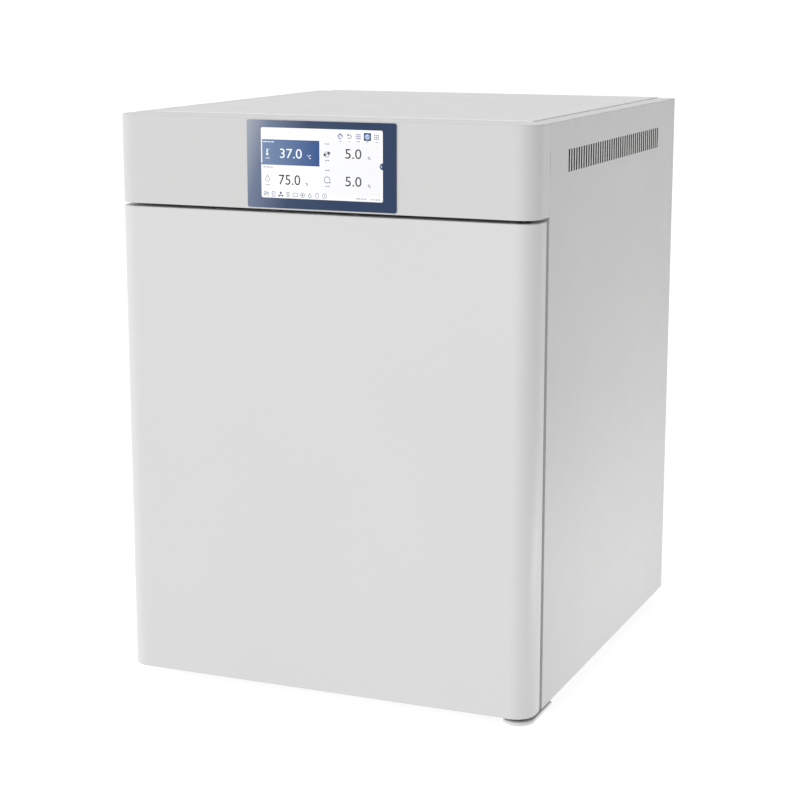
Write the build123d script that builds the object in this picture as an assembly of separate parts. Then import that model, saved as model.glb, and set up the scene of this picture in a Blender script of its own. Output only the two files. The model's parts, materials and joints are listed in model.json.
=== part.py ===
from build123d import *
import os

# Benchtop tri-gas laboratory incubator, 40 litres: painted steel casing, stainless chamber, insulated outer
# door, glass inner door, shelves, water pan, air circulation and a control compartment above the chamber.
#
# Units are millimetres. +Z is up, the doors face -Y, and +X is to the right when facing the doors. The origin
# is on the surface the feet stand on, at the centre of the overall outline. Each function below makes one
# sub-part and main() writes each to parts/NAME.step. Both doors are modelled closed.

# ---------------------------------------------------------------- driving dimensions
WIDTH = 450.0
HEIGHT = 600.0
BODY_DEPTH = 450.0
DOOR_THICK = 32.0
DOOR_GAP = 8.0
REAR_STANDOFF = 18.0
FOOT_HEIGHT = 15.0
CORNER_R = 20.0
CHAMBER_W, CHAMBER_D, CHAMBER_H = 330.0, 350.0, 370.0
CHAMBER_FLOOR_Z = 75.0
DOOR_BOTTOM_Z, DOOR_TOP_Z = 15.0, 506.5
FASCIA_Z = 509.8
BEZEL_PROUD = 1.0

# ---------------------------------------------------------------- sheets, clearances and planes
CASE_T = 1.0
SKIN_T = 1.2
FASCIA_T = 2.5
LINER_T = 1.0
HALF_W = WIDTH / 2
OVERALL_DEPTH = BEZEL_PROUD + DOOR_THICK + DOOR_GAP + BODY_DEPTH + REAR_STANDOFF
Y_DOOR = BEZEL_PROUD - OVERALL_DEPTH / 2
Y_DOOR_BACK = Y_DOOR + DOOR_THICK
Y_BODY = Y_DOOR_BACK + DOOR_GAP
Y_REAR = Y_BODY + BODY_DEPTH
Z_RIM = HEIGHT - CASE_T
Z_DECK = FASCIA_Z + FASCIA_T

# Casing flanges and the raised top cover
TOP_FLANGE = 30.0
RETURN_FLANGE = 12.0
COVER_SIDE_INSET = 20.0
COVER_FRONT_INSET = 47.0
JOINT_LINE = 0.2
COVER_SCREW_XS, COVER_SCREW_Y = (-199.0, 199.0), Y_REAR - 22.0
COVER_SCREW_R, COVER_HEAD_R = 2.0, 3.6
COVER_EDGE_R = 0.9

# Front frame, and the recess that the inner glass door closes into
FRAME_T = 1.5
Y_FRAME = Y_BODY + CASE_T
RECESS_BORDER = 11.0
RECESS_HALF_W = CHAMBER_W / 2 + RECESS_BORDER
RECESS_Z0 = CHAMBER_FLOOR_Z - RECESS_BORDER
RECESS_Z1 = CHAMBER_FLOOR_Z + CHAMBER_H + RECESS_BORDER
Y_LEDGE = Y_BODY + 21.0
Y_CHAMBER_BACK = Y_LEDGE + CHAMBER_D
CHAMBER_TOP_Z = CHAMBER_FLOOR_Z + CHAMBER_H
COVE_R = 12.0

# Outer door hinge axis: the centre of the lower bracket's round end
HINGE_INSET = 16.0
HINGE_X = HALF_W - HINGE_INSET
HINGE_Y = Y_DOOR + HINGE_INSET
PIN_R = 4.0
RUNNING = 0.05
PLATE_T = 3.2
SHIM_T = 2.8
UPPER_NOSE_R = 11.5
BRACKET_BACK_Y = Y_DOOR + 72.0
LOWER_PLATE_Z = FOOT_HEIGHT - SHIM_T - PLATE_T
BUSH_R, BUSH_LEN = 7.0, 16.0

# Outer door's inner side
GASKET_W = 14.0
GASKET_OUT_HALF_W = HINGE_X
GASKET_Z0, GASKET_Z1 = 31.0, 493.0
DOOR_RECESS_HALF_W = 192.0
DOOR_RECESS_Z0, DOOR_RECESS_Z1 = 50.0, 474.0
DOOR_RECESS_DEPTH = 10.0
DOOR_LINER_T = 1.5
GRIP_Z0, GRIP_Z1 = 225.0, 345.0
GRIP_WIDTH = 15.0
GRIP_Y = Y_DOOR_BACK - 10.0

# Inner glass door
GLASS_T = 5.0
GLASS_HALF_W = RECESS_HALF_W - 4.0
GLASS_Z0, GLASS_Z1 = RECESS_Z0 + 4.0, RECESS_Z1 - 4.0
SEAL_T = 3.7
Y_GLASS = Y_LEDGE - LINER_T - SEAL_T - 0.3 - GLASS_T
INNER_PIN_X, INNER_PIN_Y = 182.0, Y_BODY - 4.0
INNER_PIN_R = 2.0
KNUCKLE_R = 4.0
INNER_HINGE_ZS = (130.0, 390.0)
KNOB_X, KNOB_Z = -148.0, 260.0

# Shelves and what carries them
SHELF_ZS = (165.0, 255.0, 345.0)
SHELF_W, SHELF_D, SHELF_T, SHELF_LIP = 322.0, 290.0, 1.0, 8.0
SHELF_Y0 = Y_LEDGE + 12.0
SHELF_HOLE_PITCH, SHELF_HOLE_R = 19.0, 5.0
RACK_GAP, RACK_T, RAIL_OUT = 1.5, 1.2, 9.0
RAIL_PITCH = 45.0

# Air circulation
DUCT_HALF_W, DUCT_DEPTH = 100.0, 28.0
DUCT_Z0, DUCT_Z1 = CHAMBER_FLOOR_Z + 20.0, CHAMBER_TOP_Z - 15.0
BLOWER_Z = 375.0
BLOWER_R, BLOWER_W = 45.0, 16.0
SHAFT_R = 3.0
MOTOR_R = 22.0
BACK_BOARD_T = 45.0
MOTOR_Y = Y_CHAMBER_BACK + LINER_T + BACK_BOARD_T

# Display in the control fascia
BEZEL_X0, BEZEL_X1 = -75.5, 84.0
BEZEL_Z0, BEZEL_Z1 = 511.5, 597.3
SCREEN_X0, SCREEN_X1 = -60.5, 70.0
SCREEN_Z0, SCREEN_Z1 = 521.2, 590.3

# Side vents: one row of upright slots in each side panel
VENT_COUNT, VENT_PITCH, VENT_W = 41, 8.0, 4.0
VENT_Y0 = Y_DOOR + 96.5
VENT_Z0, VENT_Z1 = 548.0, 570.0

# Rear fittings
FAN_X, FAN_Z, FAN_SIZE, FAN_DEPTH = -120.0, 555.0, 80.0, 25.0
FAN_BORE_R = 38.0
GAS_XS, GAS_Z = (60.0, 98.0), 560.0
TUBE_BORE_R = 3.05
VALVE_Y = Y_REAR - 80.0
TUBE_Y = VALVE_Y - 20.0
INLET_X, INLET_Z = 172.0, 555.0
SWITCH_X = INLET_X - 30.0
SWITCH_Y, SWITCH_TILT, ROCKER_PIN_R = Y_REAR - 0.5, 8.0, 1.5
PORT_X, PORT_Z, PORT_R = 130.0, 300.0, 15.0

# Feet
FOOT_X, FOOT_FRONT_Y, FOOT_REAR_Y = 165.0, Y_BODY + 44.0, Y_REAR - 45.0
FOOT_R, STUD_R, STUD_TOP = 18.0, 4.0, 31.0
FEET = {
    "front_left": (-FOOT_X, FOOT_FRONT_Y),
    "front_right": (FOOT_X, FOOT_FRONT_Y),
    "rear_left": (-FOOT_X, FOOT_REAR_Y),
    "rear_right": (FOOT_X, FOOT_REAR_Y),
}


# ---------------------------------------------------------------- helpers
def block(x0, x1, y0, y1, z0, z1):
    """A box between two corners."""
    centre = Pos((x0 + x1) / 2, (y0 + y1) / 2, (z0 + z1) / 2)
    return centre * Box(x1 - x0, y1 - y0, z1 - z0)


def rod_z(x, y, z0, z1, radius):
    return Pos(x, y, (z0 + z1) / 2) * Cylinder(radius, z1 - z0)


def rod_y(x, z, y0, y1, radius):
    return Pos(x, (y0 + y1) / 2, z) * Rot(90, 0, 0) * Cylinder(radius, y1 - y0)


def rod_x(y, z, x0, x1, radius):
    return Pos((x0 + x1) / 2, y, z) * Rot(0, 90, 0) * Cylinder(radius, x1 - x0)


def rounded_front(half_w, y0, y1, z0, z1, radius):
    """An upright block whose two front vertical edges are rounded."""
    plan = Pos(0, (y0 + y1) / 2) * Rectangle(2 * half_w, y1 - y0)
    plan = fillet(plan.vertices().sort_by(Axis.Y)[:2], radius)
    return extrude(Pos(0, 0, z0) * plan, amount=z1 - z0)


def rounded_opening(half_w, z0, z1, y0, y1, radius):
    """A block along Y whose outline seen from the front has rounded corners."""
    outline = RectangleRounded(2 * half_w, z1 - z0, radius)
    solid = extrude(outline, amount=(y1 - y0) / 2, both=True)
    return Pos(0, (y0 + y1) / 2, (z0 + z1) / 2) * Rot(90, 0, 0) * solid


def ring_gasket(half_w, z0, z1, y0, y1, width, radius):
    """A rectangular frame of rubber with rounded corners."""
    outer = rounded_opening(half_w, z0, z1, y0, y1, radius)
    inner_y = (y0 - 1, y1 + 1)
    inner = rounded_opening(half_w - width, z0 + width, z1 - width, *inner_y, radius - width / 2)
    return outer - inner


def group(*solids):
    """Several separate solids that share one node."""
    return Compound(children=[s.solid() for s in solids])


# ---------------------------------------------------------------- casing
def side_panel(side):
    """Sheet side with a top flange and front and rear returns. side is 1 for right and -1 for left."""
    y0, y1 = Y_BODY + JOINT_LINE, Y_REAR
    panel = block(HALF_W - CASE_T, HALF_W, y0, y1, FOOT_HEIGHT, Z_RIM)
    panel += block(HALF_W - TOP_FLANGE, HALF_W, y0, y1, Z_RIM - CASE_T, Z_RIM)
    panel += block(HALF_W - RETURN_FLANGE, HALF_W, Y_BODY, Y_FRAME, FOOT_HEIGHT, DOOR_TOP_Z)
    back = y1 - 2 * CASE_T
    panel += block(HALF_W - RETURN_FLANGE, HALF_W, back, back + CASE_T, FOOT_HEIGHT, Z_RIM)
    top_edge = panel.edges().filter_by(Axis.Y).sort_by(lambda e: -(e.center().X + e.center().Z))[0]
    panel = fillet(top_edge, 0.9)
    slots = [
        block(HALF_W - 3, HALF_W + 1, y, y + VENT_W, VENT_Z0, VENT_Z1)
        for y in (VENT_Y0 + i * VENT_PITCH for i in range(VENT_COUNT))
    ]
    panel = panel - slots
    panel -= rod_z(COVER_SCREW_XS[1], COVER_SCREW_Y, Z_RIM - 3, HEIGHT, COVER_SCREW_R + 0.1)
    return panel if side > 0 else mirror(panel, about=Plane.YZ)


def base_pan():
    """Bottom sheet with its edges turned up, drilled for the four foot studs."""
    half, y0, y1 = HALF_W - CASE_T - 0.2, Y_FRAME + FRAME_T, Y_REAR - 2 * CASE_T
    pan = block(-half, half, y0, y1, FOOT_HEIGHT, FOOT_HEIGHT + 16)
    inner = half - SKIN_T
    pan -= block(-inner, inner, y0 + SKIN_T, y1 - SKIN_T, FOOT_HEIGHT + SKIN_T, FOOT_HEIGHT + 17)
    holes = [rod_z(x, y, FOOT_HEIGHT - 1, FOOT_HEIGHT + 3, STUD_R + 0.5) for x, y in FEET.values()]
    return pan - holes


def foot_nuts():
    """Hexagon nuts on the base pan that the foot studs screw into."""
    z0, z1 = FOOT_HEIGHT + SKIN_T, FOOT_HEIGHT + SKIN_T + 7
    nuts = []
    for x, y in FEET.values():
        nut = extrude(Pos(x, y, z0) * RegularPolygon(7.5, 6), amount=z1 - z0)
        nuts.append(nut - rod_z(x, y, z0 - 1, z1 + 1, STUD_R + RUNNING))
    return group(*nuts)


def foot(x, y):
    """Levelling foot: threaded stud, steel collar and a wide rubber pad."""
    pad = rod_z(x, y, 0, 7, FOOT_R)
    pad = fillet(pad.edges().group_by(Axis.Z)[-1], 2)
    pad = chamfer(pad.edges().group_by(Axis.Z)[0], 0.8)
    collar = extrude(Pos(x, y, 7) * RegularPolygon(9, 6), amount=5)
    return pad + collar + rod_z(x, y, 12, STUD_TOP, STUD_R)


def rear_panel():
    """Rear sheet with the cut-outs for the fan, power inlet, gas inlets and access port."""
    half = HALF_W - CASE_T - 0.2
    panel = block(-half, half, Y_REAR - CASE_T, Y_REAR, FOOT_HEIGHT, Z_RIM - CASE_T)
    flange_half = HALF_W - TOP_FLANGE - 0.5
    panel += block(-flange_half, flange_half, Y_REAR - 20, Y_REAR, Z_RIM - CASE_T, Z_RIM)
    cuts = [
        rod_y(FAN_X, FAN_Z, Y_REAR - 5, Y_REAR + 1, FAN_BORE_R),
        rod_y(PORT_X, PORT_Z, Y_REAR - 5, Y_REAR + 1, PORT_R + 2.2),
        block(INLET_X - 45, INLET_X + 18, Y_REAR - 5, Y_REAR + 1, INLET_Z - 14, INLET_Z + 14),
    ]
    cuts += [rod_y(x, GAS_Z, Y_REAR - 5, Y_REAR + 1, 7.2) for x in GAS_XS]
    louvres = GridLocations(9, 28, 20, 2).locations
    cuts += [
        block(p.position.X - 1.6, p.position.X + 1.6, Y_REAR - 5, Y_REAR + 1, z - 10, z + 10)
        for p in louvres
        for z in (130 + p.position.Y,)
    ]
    return panel - cuts


def top_cover():
    """Raised sheet on the casing's top flanges, with a softened edge and two countersunk rear screw holes."""
    half = HALF_W - COVER_SIDE_INSET
    cover = block(-half, half, Y_DOOR + COVER_FRONT_INSET, Y_REAR, Z_RIM, HEIGHT)
    top_edges = cover.edges().group_by(Axis.Z)[-1].sort_by(Axis.Y)[:3]
    cover = fillet(top_edges, COVER_EDGE_R)
    return cover - [countersink(x, COVER_SCREW_Y, 0.1) for x in COVER_SCREW_XS]


def control_fascia():
    """Hollow band above the door that holds the display; its top flange runs back under the cover."""
    y_back = Y_BODY - JOINT_LINE
    outer = rounded_front(HALF_W, Y_DOOR, y_back, FASCIA_Z, Z_RIM, CORNER_R)
    rim = outer.edges().group_by(Axis.Z)
    outer = fillet(rim[-1].filter_by(lambda e: e.center().Y < y_back - 1), 1.5)
    low = outer.edges().group_by(Axis.Z)[0].filter_by(lambda e: e.center().Y < y_back - 1)
    outer = fillet(low, 0.8)
    inner = rounded_front(
        HALF_W - FASCIA_T,
        Y_DOOR + FASCIA_T,
        y_back + 1,
        FASCIA_Z + FASCIA_T,
        Z_RIM - FASCIA_T,
        CORNER_R - FASCIA_T,
    )
    shell = outer - inner
    tongue_half = HALF_W - TOP_FLANGE - 0.5
    shell += block(-tongue_half, tongue_half, y_back - 1, Y_DOOR + 62, Z_RIM - FASCIA_T, Z_RIM)
    window_z = (SCREEN_Z0 - 3, SCREEN_Z1 + 3)
    shell -= block(SCREEN_X0 - 3, SCREEN_X1 + 3, Y_DOOR - 1, Y_DOOR + 5, *window_z)
    return shell - rod_z(HINGE_X, HINGE_Y, FASCIA_Z - 1, FASCIA_Z + 4, PIN_R + 0.6)


def front_frame():
    """Painted plate round the chamber mouth that the outer door's gasket closes on."""
    half = HALF_W - CASE_T - 0.2
    plate = block(-half, half, Y_FRAME, Y_FRAME + FRAME_T, FOOT_HEIGHT, Z_DECK - SKIN_T)
    mouth = rounded_opening(RECESS_HALF_W, RECESS_Z0, RECESS_Z1, Y_FRAME - 1, Y_FRAME + 3, 8)
    return plate - mouth


def service_deck():
    """Sheet floor of the control compartment, above the top insulation."""
    half = HALF_W - CASE_T - 0.5
    deck = block(-half, half, Y_FRAME + 1, Y_REAR - 2.5, Z_DECK - SKIN_T, Z_DECK)
    return deck - [rod_z(x, TUBE_Y, Z_DECK - 3, Z_DECK + 1, 3.6) for x in GAS_XS]


# ---------------------------------------------------------------- chamber
def chamber_box(grow, y0, y1):
    """The chamber's shape grown outwards, with its long edges coved."""
    half, z0, z1 = CHAMBER_W / 2 + grow, CHAMBER_FLOOR_Z - grow, CHAMBER_TOP_Z + grow
    return rounded_opening(half, z0, z1, y0, y1, COVE_R + grow)


def chamber_liner():
    """Stainless inner box with coved corners and a stepped mouth for the inner door."""
    shell = chamber_box(LINER_T, Y_LEDGE - LINER_T, Y_CHAMBER_BACK + LINER_T)
    rear_edges = shell.edges().group_by(Axis.Y)[-1]
    shell = fillet(rear_edges, COVE_R)
    y_front = Y_FRAME + FRAME_T
    step = rounded_opening(
        RECESS_HALF_W + LINER_T, RECESS_Z0 - LINER_T, RECESS_Z1 + LINER_T, y_front, Y_LEDGE, 9
    )
    flange = rounded_opening(
        RECESS_HALF_W + 14, RECESS_Z0 - 14, RECESS_Z1 + 14, y_front, y_front + LINER_T, 20
    )
    shell = shell + step + flange
    shell -= rounded_opening(RECESS_HALF_W, RECESS_Z0, RECESS_Z1, y_front - 1, Y_LEDGE - LINER_T, 8)
    cavity = chamber_box(0, Y_LEDGE - 2, Y_CHAMBER_BACK)
    cavity = fillet(cavity.edges().group_by(Axis.Y)[-1], COVE_R - LINER_T)
    shell -= cavity
    shell -= rod_y(0, BLOWER_Z, Y_CHAMBER_BACK - 1, Y_CHAMBER_BACK + 3, SHAFT_R + 1.5)
    shell -= rod_y(PORT_X, PORT_Z, Y_CHAMBER_BACK - 1, Y_CHAMBER_BACK + 3, PORT_R + 2.1)
    return shell - [rod_z(x, TUBE_Y, CHAMBER_TOP_Z - 1, CHAMBER_TOP_Z + 3, 3.1) for x in GAS_XS]


def chamber_heaters():
    """Heating mats stuck to the liner's left, right, bottom and top."""
    t, margin = 1.2, 30.0
    x, z0, z1 = CHAMBER_W / 2 + LINER_T, CHAMBER_FLOOR_Z + margin, CHAMBER_TOP_Z - margin
    y0, y1 = Y_LEDGE + margin, Y_CHAMBER_BACK - margin - 30
    half = CHAMBER_W / 2 - margin
    floor, roof = CHAMBER_FLOOR_Z - LINER_T, CHAMBER_TOP_Z + LINER_T
    return group(
        block(-x - t, -x, y0, y1, z0, z1),
        block(x, x + t, y0, y1, z0, z1),
        block(-half, half, y0, y1, floor - t, floor),
        block(-half, half, y0, y1, roof, roof + t),
    )


def insulation_boards():
    """Five rigid foam boards between the liner and the casing, with pockets for the feet's nuts and studs."""
    x_in, x_out = CHAMBER_W / 2 + 3, HALF_W - CASE_T - 1.7
    y0, y1 = Y_LEDGE + 2, Y_CHAMBER_BACK + LINER_T
    z0, z1 = FOOT_HEIGHT + SKIN_T, Z_DECK - SKIN_T
    floor, roof = CHAMBER_FLOOR_Z - 3, CHAMBER_TOP_Z + 3
    y_fit = y1 - 0.2
    back = block(-x_out, x_out, y1, y1 + BACK_BOARD_T, z0, z1)
    back -= rod_y(0, BLOWER_Z, y1 - 1, y1 + BACK_BOARD_T + 1, SHAFT_R + 2)
    back -= rod_y(PORT_X, PORT_Z, y1 - 1, y1 + BACK_BOARD_T + 1, PORT_R + 2.5)
    top = block(-x_in + 0.2, x_in - 0.2, y0, y_fit, roof, z1)
    top -= [rod_z(x, TUBE_Y, roof - 1, z1 + 1, 3.6) for x in GAS_XS]
    bottom = block(-x_in + 0.2, x_in - 0.2, y0, y_fit, z0, floor)
    left = block(-x_out, -x_in, y0, y_fit, z0, z1)
    right = block(x_in, x_out, y0, y_fit, z0, z1)
    pockets = [rod_z(x, y, z0 - 1, STUD_TOP + 3, 9.5) for x, y in FEET.values()]
    return group(top, *[board - pockets for board in (left, right, bottom, back)])


def inner_door_seal():
    """Rubber frame on the ledge behind the glass."""
    half, grow = RECESS_HALF_W - 1.5, 1.5
    y1 = Y_LEDGE - LINER_T
    return ring_gasket(half, RECESS_Z0 + grow, RECESS_Z1 - grow, y1 - SEAL_T, y1, 8.0, 8.0)


def shelf_racks():
    """Two slotted uprights with rails, one on each side wall."""
    x1 = CHAMBER_W / 2 - RACK_GAP
    x0 = x1 - RACK_T
    y0, y1 = SHELF_Y0 + 5, SHELF_Y0 + SHELF_D - 5
    z0, z1 = CHAMBER_FLOOR_Z + 14, CHAMBER_TOP_Z - 14
    rack = block(x0, x1, y0, y1, z0, z1)
    window_h = RAIL_PITCH - 18
    rails = int((z1 - z0 - 30) // RAIL_PITCH) + 1
    first = SHELF_ZS[0] - RAIL_PITCH
    windows = []
    for i in range(rails):
        z = first + i * RAIL_PITCH
        if z + 5 > z1:
            continue
        for k in range(3):
            wy = y0 + 16 + k * (y1 - y0 - 20) / 3
            windows.append(block(x0 - 1, x1 + 1, wy, wy + 66, z + 8, min(z + 8 + window_h, z1 - 8)))
        rack += block(x0 - RAIL_OUT, x0 + 0.1, y0, y1, z - RACK_T, z)
    rack = rack - windows
    for y in (y0 + 7, y1 - 7):
        for z in (z0 + 12, z1 - 12):
            rack += rod_x(y, z, x1 - 0.1, CHAMBER_W / 2, 4)
    return group(rack, mirror(rack, about=Plane.YZ))


def shelf(z):
    """Perforated sheet shelf with its front and rear edges folded down."""
    sheet = Rectangle(SHELF_W, SHELF_D)
    nx = int((SHELF_W - 30) // SHELF_HOLE_PITCH)
    ny = int((SHELF_D - 30) // SHELF_HOLE_PITCH)
    sheet -= GridLocations(SHELF_HOLE_PITCH, SHELF_HOLE_PITCH, nx, ny) * Circle(SHELF_HOLE_R)
    plate = extrude(sheet, amount=SHELF_T)
    plate = Pos(0, SHELF_Y0 + SHELF_D / 2, z) * plate
    half = SHELF_W / 2 - 14
    for y in (SHELF_Y0, SHELF_Y0 + SHELF_D - SHELF_T):
        plate += block(-half, half, y, y + SHELF_T, z - SHELF_LIP, z + 0.1)
    return plate


def water_pan():
    """Open humidity tray that stands on the chamber floor."""
    half_x, y0, y1, z0 = 120.0, SHELF_Y0 + 20, SHELF_Y0 + 250, CHAMBER_FLOOR_Z
    outer = block(-half_x, half_x, y0, y1, z0, z0 + 26)
    outer = fillet(outer.edges().filter_by(Axis.Z), 14)
    outer = fillet(outer.edges().group_by(Axis.Z)[0], 5)
    cavity = block(-half_x + 1, half_x - 1, y0 + 1, y1 - 1, z0 + 1, z0 + 40)
    cavity = fillet(cavity.edges().filter_by(Axis.Z), 13)
    cavity = fillet(cavity.edges().group_by(Axis.Z)[0], 4)
    rim = block(-half_x - 5, half_x + 5, y0 - 5, y1 + 5, z0 + 25, z0 + 26)
    rim = fillet(rim.edges().filter_by(Axis.Z), 18)
    return outer + rim - cavity


# ---------------------------------------------------------------- air circulation and sensors
def air_duct_cover():
    """Cover over the blower on the rear wall: round intake pattern above, outlet slots below."""
    y0, y1 = Y_CHAMBER_BACK - DUCT_DEPTH, Y_CHAMBER_BACK
    duct = block(-DUCT_HALF_W, DUCT_HALF_W, y0, y1, DUCT_Z0, DUCT_Z1)
    duct = fillet(duct.edges().filter_by(Axis.Y), 10)
    duct = fillet(duct.edges().group_by(Axis.Y)[0], 3)
    hollow = block(-DUCT_HALF_W + 1, DUCT_HALF_W - 1, y0 + 1, y1 + 1, DUCT_Z0 + 1, DUCT_Z1 - 1)
    hollow = fillet(hollow.edges().filter_by(Axis.Y), 9)
    duct -= hollow
    holes = []
    to_cover = Pos(0, y0, BLOWER_Z) * Rot(90, 0, 0)
    for radius, count in ((10, 6), (20, 12), (30, 18), (40, 24)):
        holes += [to_cover * p * Cylinder(3.2, 6) for p in PolarLocations(radius, count)]
    for row in range(3):
        for col in range(-4, 5):
            z, x = DUCT_Z0 + 22 + row * 14, col * 18
            holes.append(block(x - 6, x + 6, y0 - 1, y0 + 3, z, z + 5))
    return duct - holes


def blower_motor():
    """Motor behind the rear insulation that turns the blower wheel."""
    y0 = MOTOR_Y
    y1 = Y_REAR - 3.0
    can = rod_y(0, BLOWER_Z, y0 + 2, y1, MOTOR_R)
    can = fillet(can.edges().group_by(Axis.Y)[-1], 3)
    can += block(-30, 30, y0, y0 + 2.01, BLOWER_Z - 30, BLOWER_Z + 30)
    can -= rod_y(0, BLOWER_Z, y0 - 1, y0 + 14, SHAFT_R + RUNNING)
    return can - [rod_y(sx * 25, BLOWER_Z + sz * 25, y0 - 1, y0 + 3, 2.2) for sx in (-1, 1) for sz in (-1, 1)]


def blower_wheel():
    """Centrifugal wheel in the duct, on the shaft that runs back to the motor."""
    y1 = Y_CHAMBER_BACK - 5
    y0 = y1 - BLOWER_W
    wheel = rod_y(0, BLOWER_Z, y1 - 1.5, y1, BLOWER_R)
    wheel += rod_y(0, BLOWER_Z, y0, y0 + 1.5, BLOWER_R) - rod_y(0, BLOWER_Z, y0 - 1, y0 + 2, BLOWER_R - 13)
    wheel += rod_y(0, BLOWER_Z, y1 - 12, y1, 9)
    blade = Pos(BLOWER_R - 7, 0, 0) * Rot(0, 0, 28) * Box(11.5, 1.2, BLOWER_W - 1)
    to_wheel = Pos(0, (y0 + y1) / 2, BLOWER_Z) * Rot(90, 0, 0)
    wheel += [to_wheel * Rot(0, 0, i * 360 / 24) * blade for i in range(24)]
    return wheel + rod_y(0, BLOWER_Z, y1 - 13, MOTOR_Y + 12, SHAFT_R)


def chamber_sensors():
    """Three probes on the rear wall: temperature, carbon dioxide and oxygen."""
    y1 = Y_CHAMBER_BACK
    temperature = rod_y(-130, 380, y1 - 40, y1, 3) + rod_y(-130, 380, y1 - 6, y1, 9)
    co2 = rod_y(-130, 330, y1 - 34, y1, 11)
    co2 = fillet(co2.edges().group_by(Axis.Y)[0], 3)
    oxygen = rod_y(-130, 280, y1 - 26, y1, 13)
    oxygen = chamfer(oxygen.edges().group_by(Axis.Y)[0], 3)
    oxygen -= rod_y(-130, 280, y1 - 27, y1 - 18, 7)
    return group(temperature, co2, oxygen)


def access_port():
    """Tube through the rear insulation for probe leads, with a round flange outside."""
    tube = rod_y(PORT_X, PORT_Z, Y_CHAMBER_BACK - 1, Y_REAR + 3, PORT_R + 2)
    flange = rod_y(PORT_X, PORT_Z, Y_REAR, Y_REAR + 3, PORT_R + 9)
    flange = fillet(flange.edges().group_by(Axis.Y)[-1], 1.2)
    return tube + flange - rod_y(PORT_X, PORT_Z, Y_CHAMBER_BACK - 2, Y_REAR + 4, PORT_R)


def port_stopper():
    """Silicone stopper in the access port, with a wide head to pull."""
    plug = rod_y(PORT_X, PORT_Z, Y_REAR - 40, Y_REAR + 3.5, PORT_R - RUNNING)
    plug = chamfer(plug.edges().group_by(Axis.Y)[0], 2)
    head = rod_y(PORT_X, PORT_Z, Y_REAR + 3.3, Y_REAR + 11, PORT_R + 5)
    head = fillet(head.edges().group_by(Axis.Y)[-1], 2.5)
    return plug + head


# ---------------------------------------------------------------- outer door
def door_skin():
    """Painted steel outer pan of the door, open at the back, with a notch for the edge grip."""
    outer = rounded_front(HALF_W, Y_DOOR, Y_DOOR_BACK, DOOR_BOTTOM_Z, DOOR_TOP_Z, CORNER_R)
    for level in (-1, 0):
        edges = outer.edges().group_by(Axis.Z)[level].filter_by(lambda e: e.center().Y < Y_DOOR_BACK - 1)
        outer = fillet(edges, 1.2)
    inner = rounded_front(
        HALF_W - SKIN_T,
        Y_DOOR + SKIN_T,
        Y_DOOR_BACK + 1,
        DOOR_BOTTOM_Z + SKIN_T,
        DOOR_TOP_Z - SKIN_T,
        CORNER_R - SKIN_T,
    )
    skin = outer - inner
    skin -= block(-HALF_W - 1, -HALF_W + 3, GRIP_Y, Y_DOOR_BACK + 1, GRIP_Z0, GRIP_Z1)
    for z in (DOOR_BOTTOM_Z, DOOR_TOP_Z):
        skin -= rod_z(HINGE_X, HINGE_Y, z - 3, z + 3, BUSH_R + 0.1)
    return skin


def door_liner():
    """Moulded inner panel of the door, dished inside the gasket to clear the inner door."""
    half, t = HALF_W - SKIN_T - 0.1, DOOR_LINER_T
    z0, z1 = DOOR_BOTTOM_Z + SKIN_T + 0.1, DOOR_TOP_Z - SKIN_T - 0.1
    panel = block(-half, half, Y_DOOR_BACK - t, Y_DOOR_BACK, z0, z1)
    r_half, depth = DOOR_RECESS_HALF_W, DOOR_RECESS_DEPTH
    dish = rounded_opening(
        r_half + t, DOOR_RECESS_Z0 - t, DOOR_RECESS_Z1 + t, Y_DOOR_BACK - depth - t, Y_DOOR_BACK, 14 + t
    )
    hollow = rounded_opening(
        r_half, DOOR_RECESS_Z0, DOOR_RECESS_Z1, Y_DOOR_BACK - depth, Y_DOOR_BACK + 1, 14
    )
    notch = block(-HALF_W - 1, -HALF_W + GRIP_WIDTH, Y_DOOR_BACK - t - 1, Y_DOOR_BACK + 1, GRIP_Z0, GRIP_Z1)
    return panel + dish - hollow - notch


def door_foam():
    """Insulation between the door skin and its liner."""
    gap = 0.3
    foam = rounded_front(
        HALF_W - SKIN_T - gap,
        Y_DOOR + SKIN_T + gap,
        Y_DOOR_BACK - DOOR_LINER_T - gap,
        DOOR_BOTTOM_Z + SKIN_T + gap,
        DOOR_TOP_Z - SKIN_T - gap,
        CORNER_R - SKIN_T,
    )
    r_half, t = DOOR_RECESS_HALF_W + DOOR_LINER_T + gap, DOOR_LINER_T + gap
    dish_y = Y_DOOR_BACK - DOOR_RECESS_DEPTH - t
    foam -= block(-r_half, r_half, dish_y, Y_DOOR_BACK, DOOR_RECESS_Z0 - t, DOOR_RECESS_Z1 + t)
    foam -= block(
        -HALF_W, -HALF_W + GRIP_WIDTH + gap, GRIP_Y - gap, Y_DOOR_BACK, GRIP_Z0 - gap, GRIP_Z1 + gap
    )
    for z in (DOOR_BOTTOM_Z, DOOR_TOP_Z):
        foam -= rod_z(HINGE_X, HINGE_Y, z - BUSH_LEN - 3, z + BUSH_LEN + 3, BUSH_R + gap)
    return foam


def door_grip():
    """Moulded finger scoop let into the door's free edge, open towards the casing and to the side."""
    wall, fit = 1.5, 0.1
    x0, x1 = -HALF_W + fit, -HALF_W + GRIP_WIDTH - fit
    y0, z0, z1 = GRIP_Y + fit, GRIP_Z0 + fit, GRIP_Z1 - fit
    scoop = block(x0, x1, y0, Y_DOOR_BACK, z0, z1)
    hollow = block(x0 - 5, x1 - wall, y0 + wall, Y_DOOR_BACK + 5, z0 + wall, z1 - wall)
    inner_edge = hollow.edges().filter_by(Axis.Z).sort_by(lambda e: e.center().X - e.center().Y)[-1]
    hollow = fillet(inner_edge, 5)
    return scoop - hollow


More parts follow.
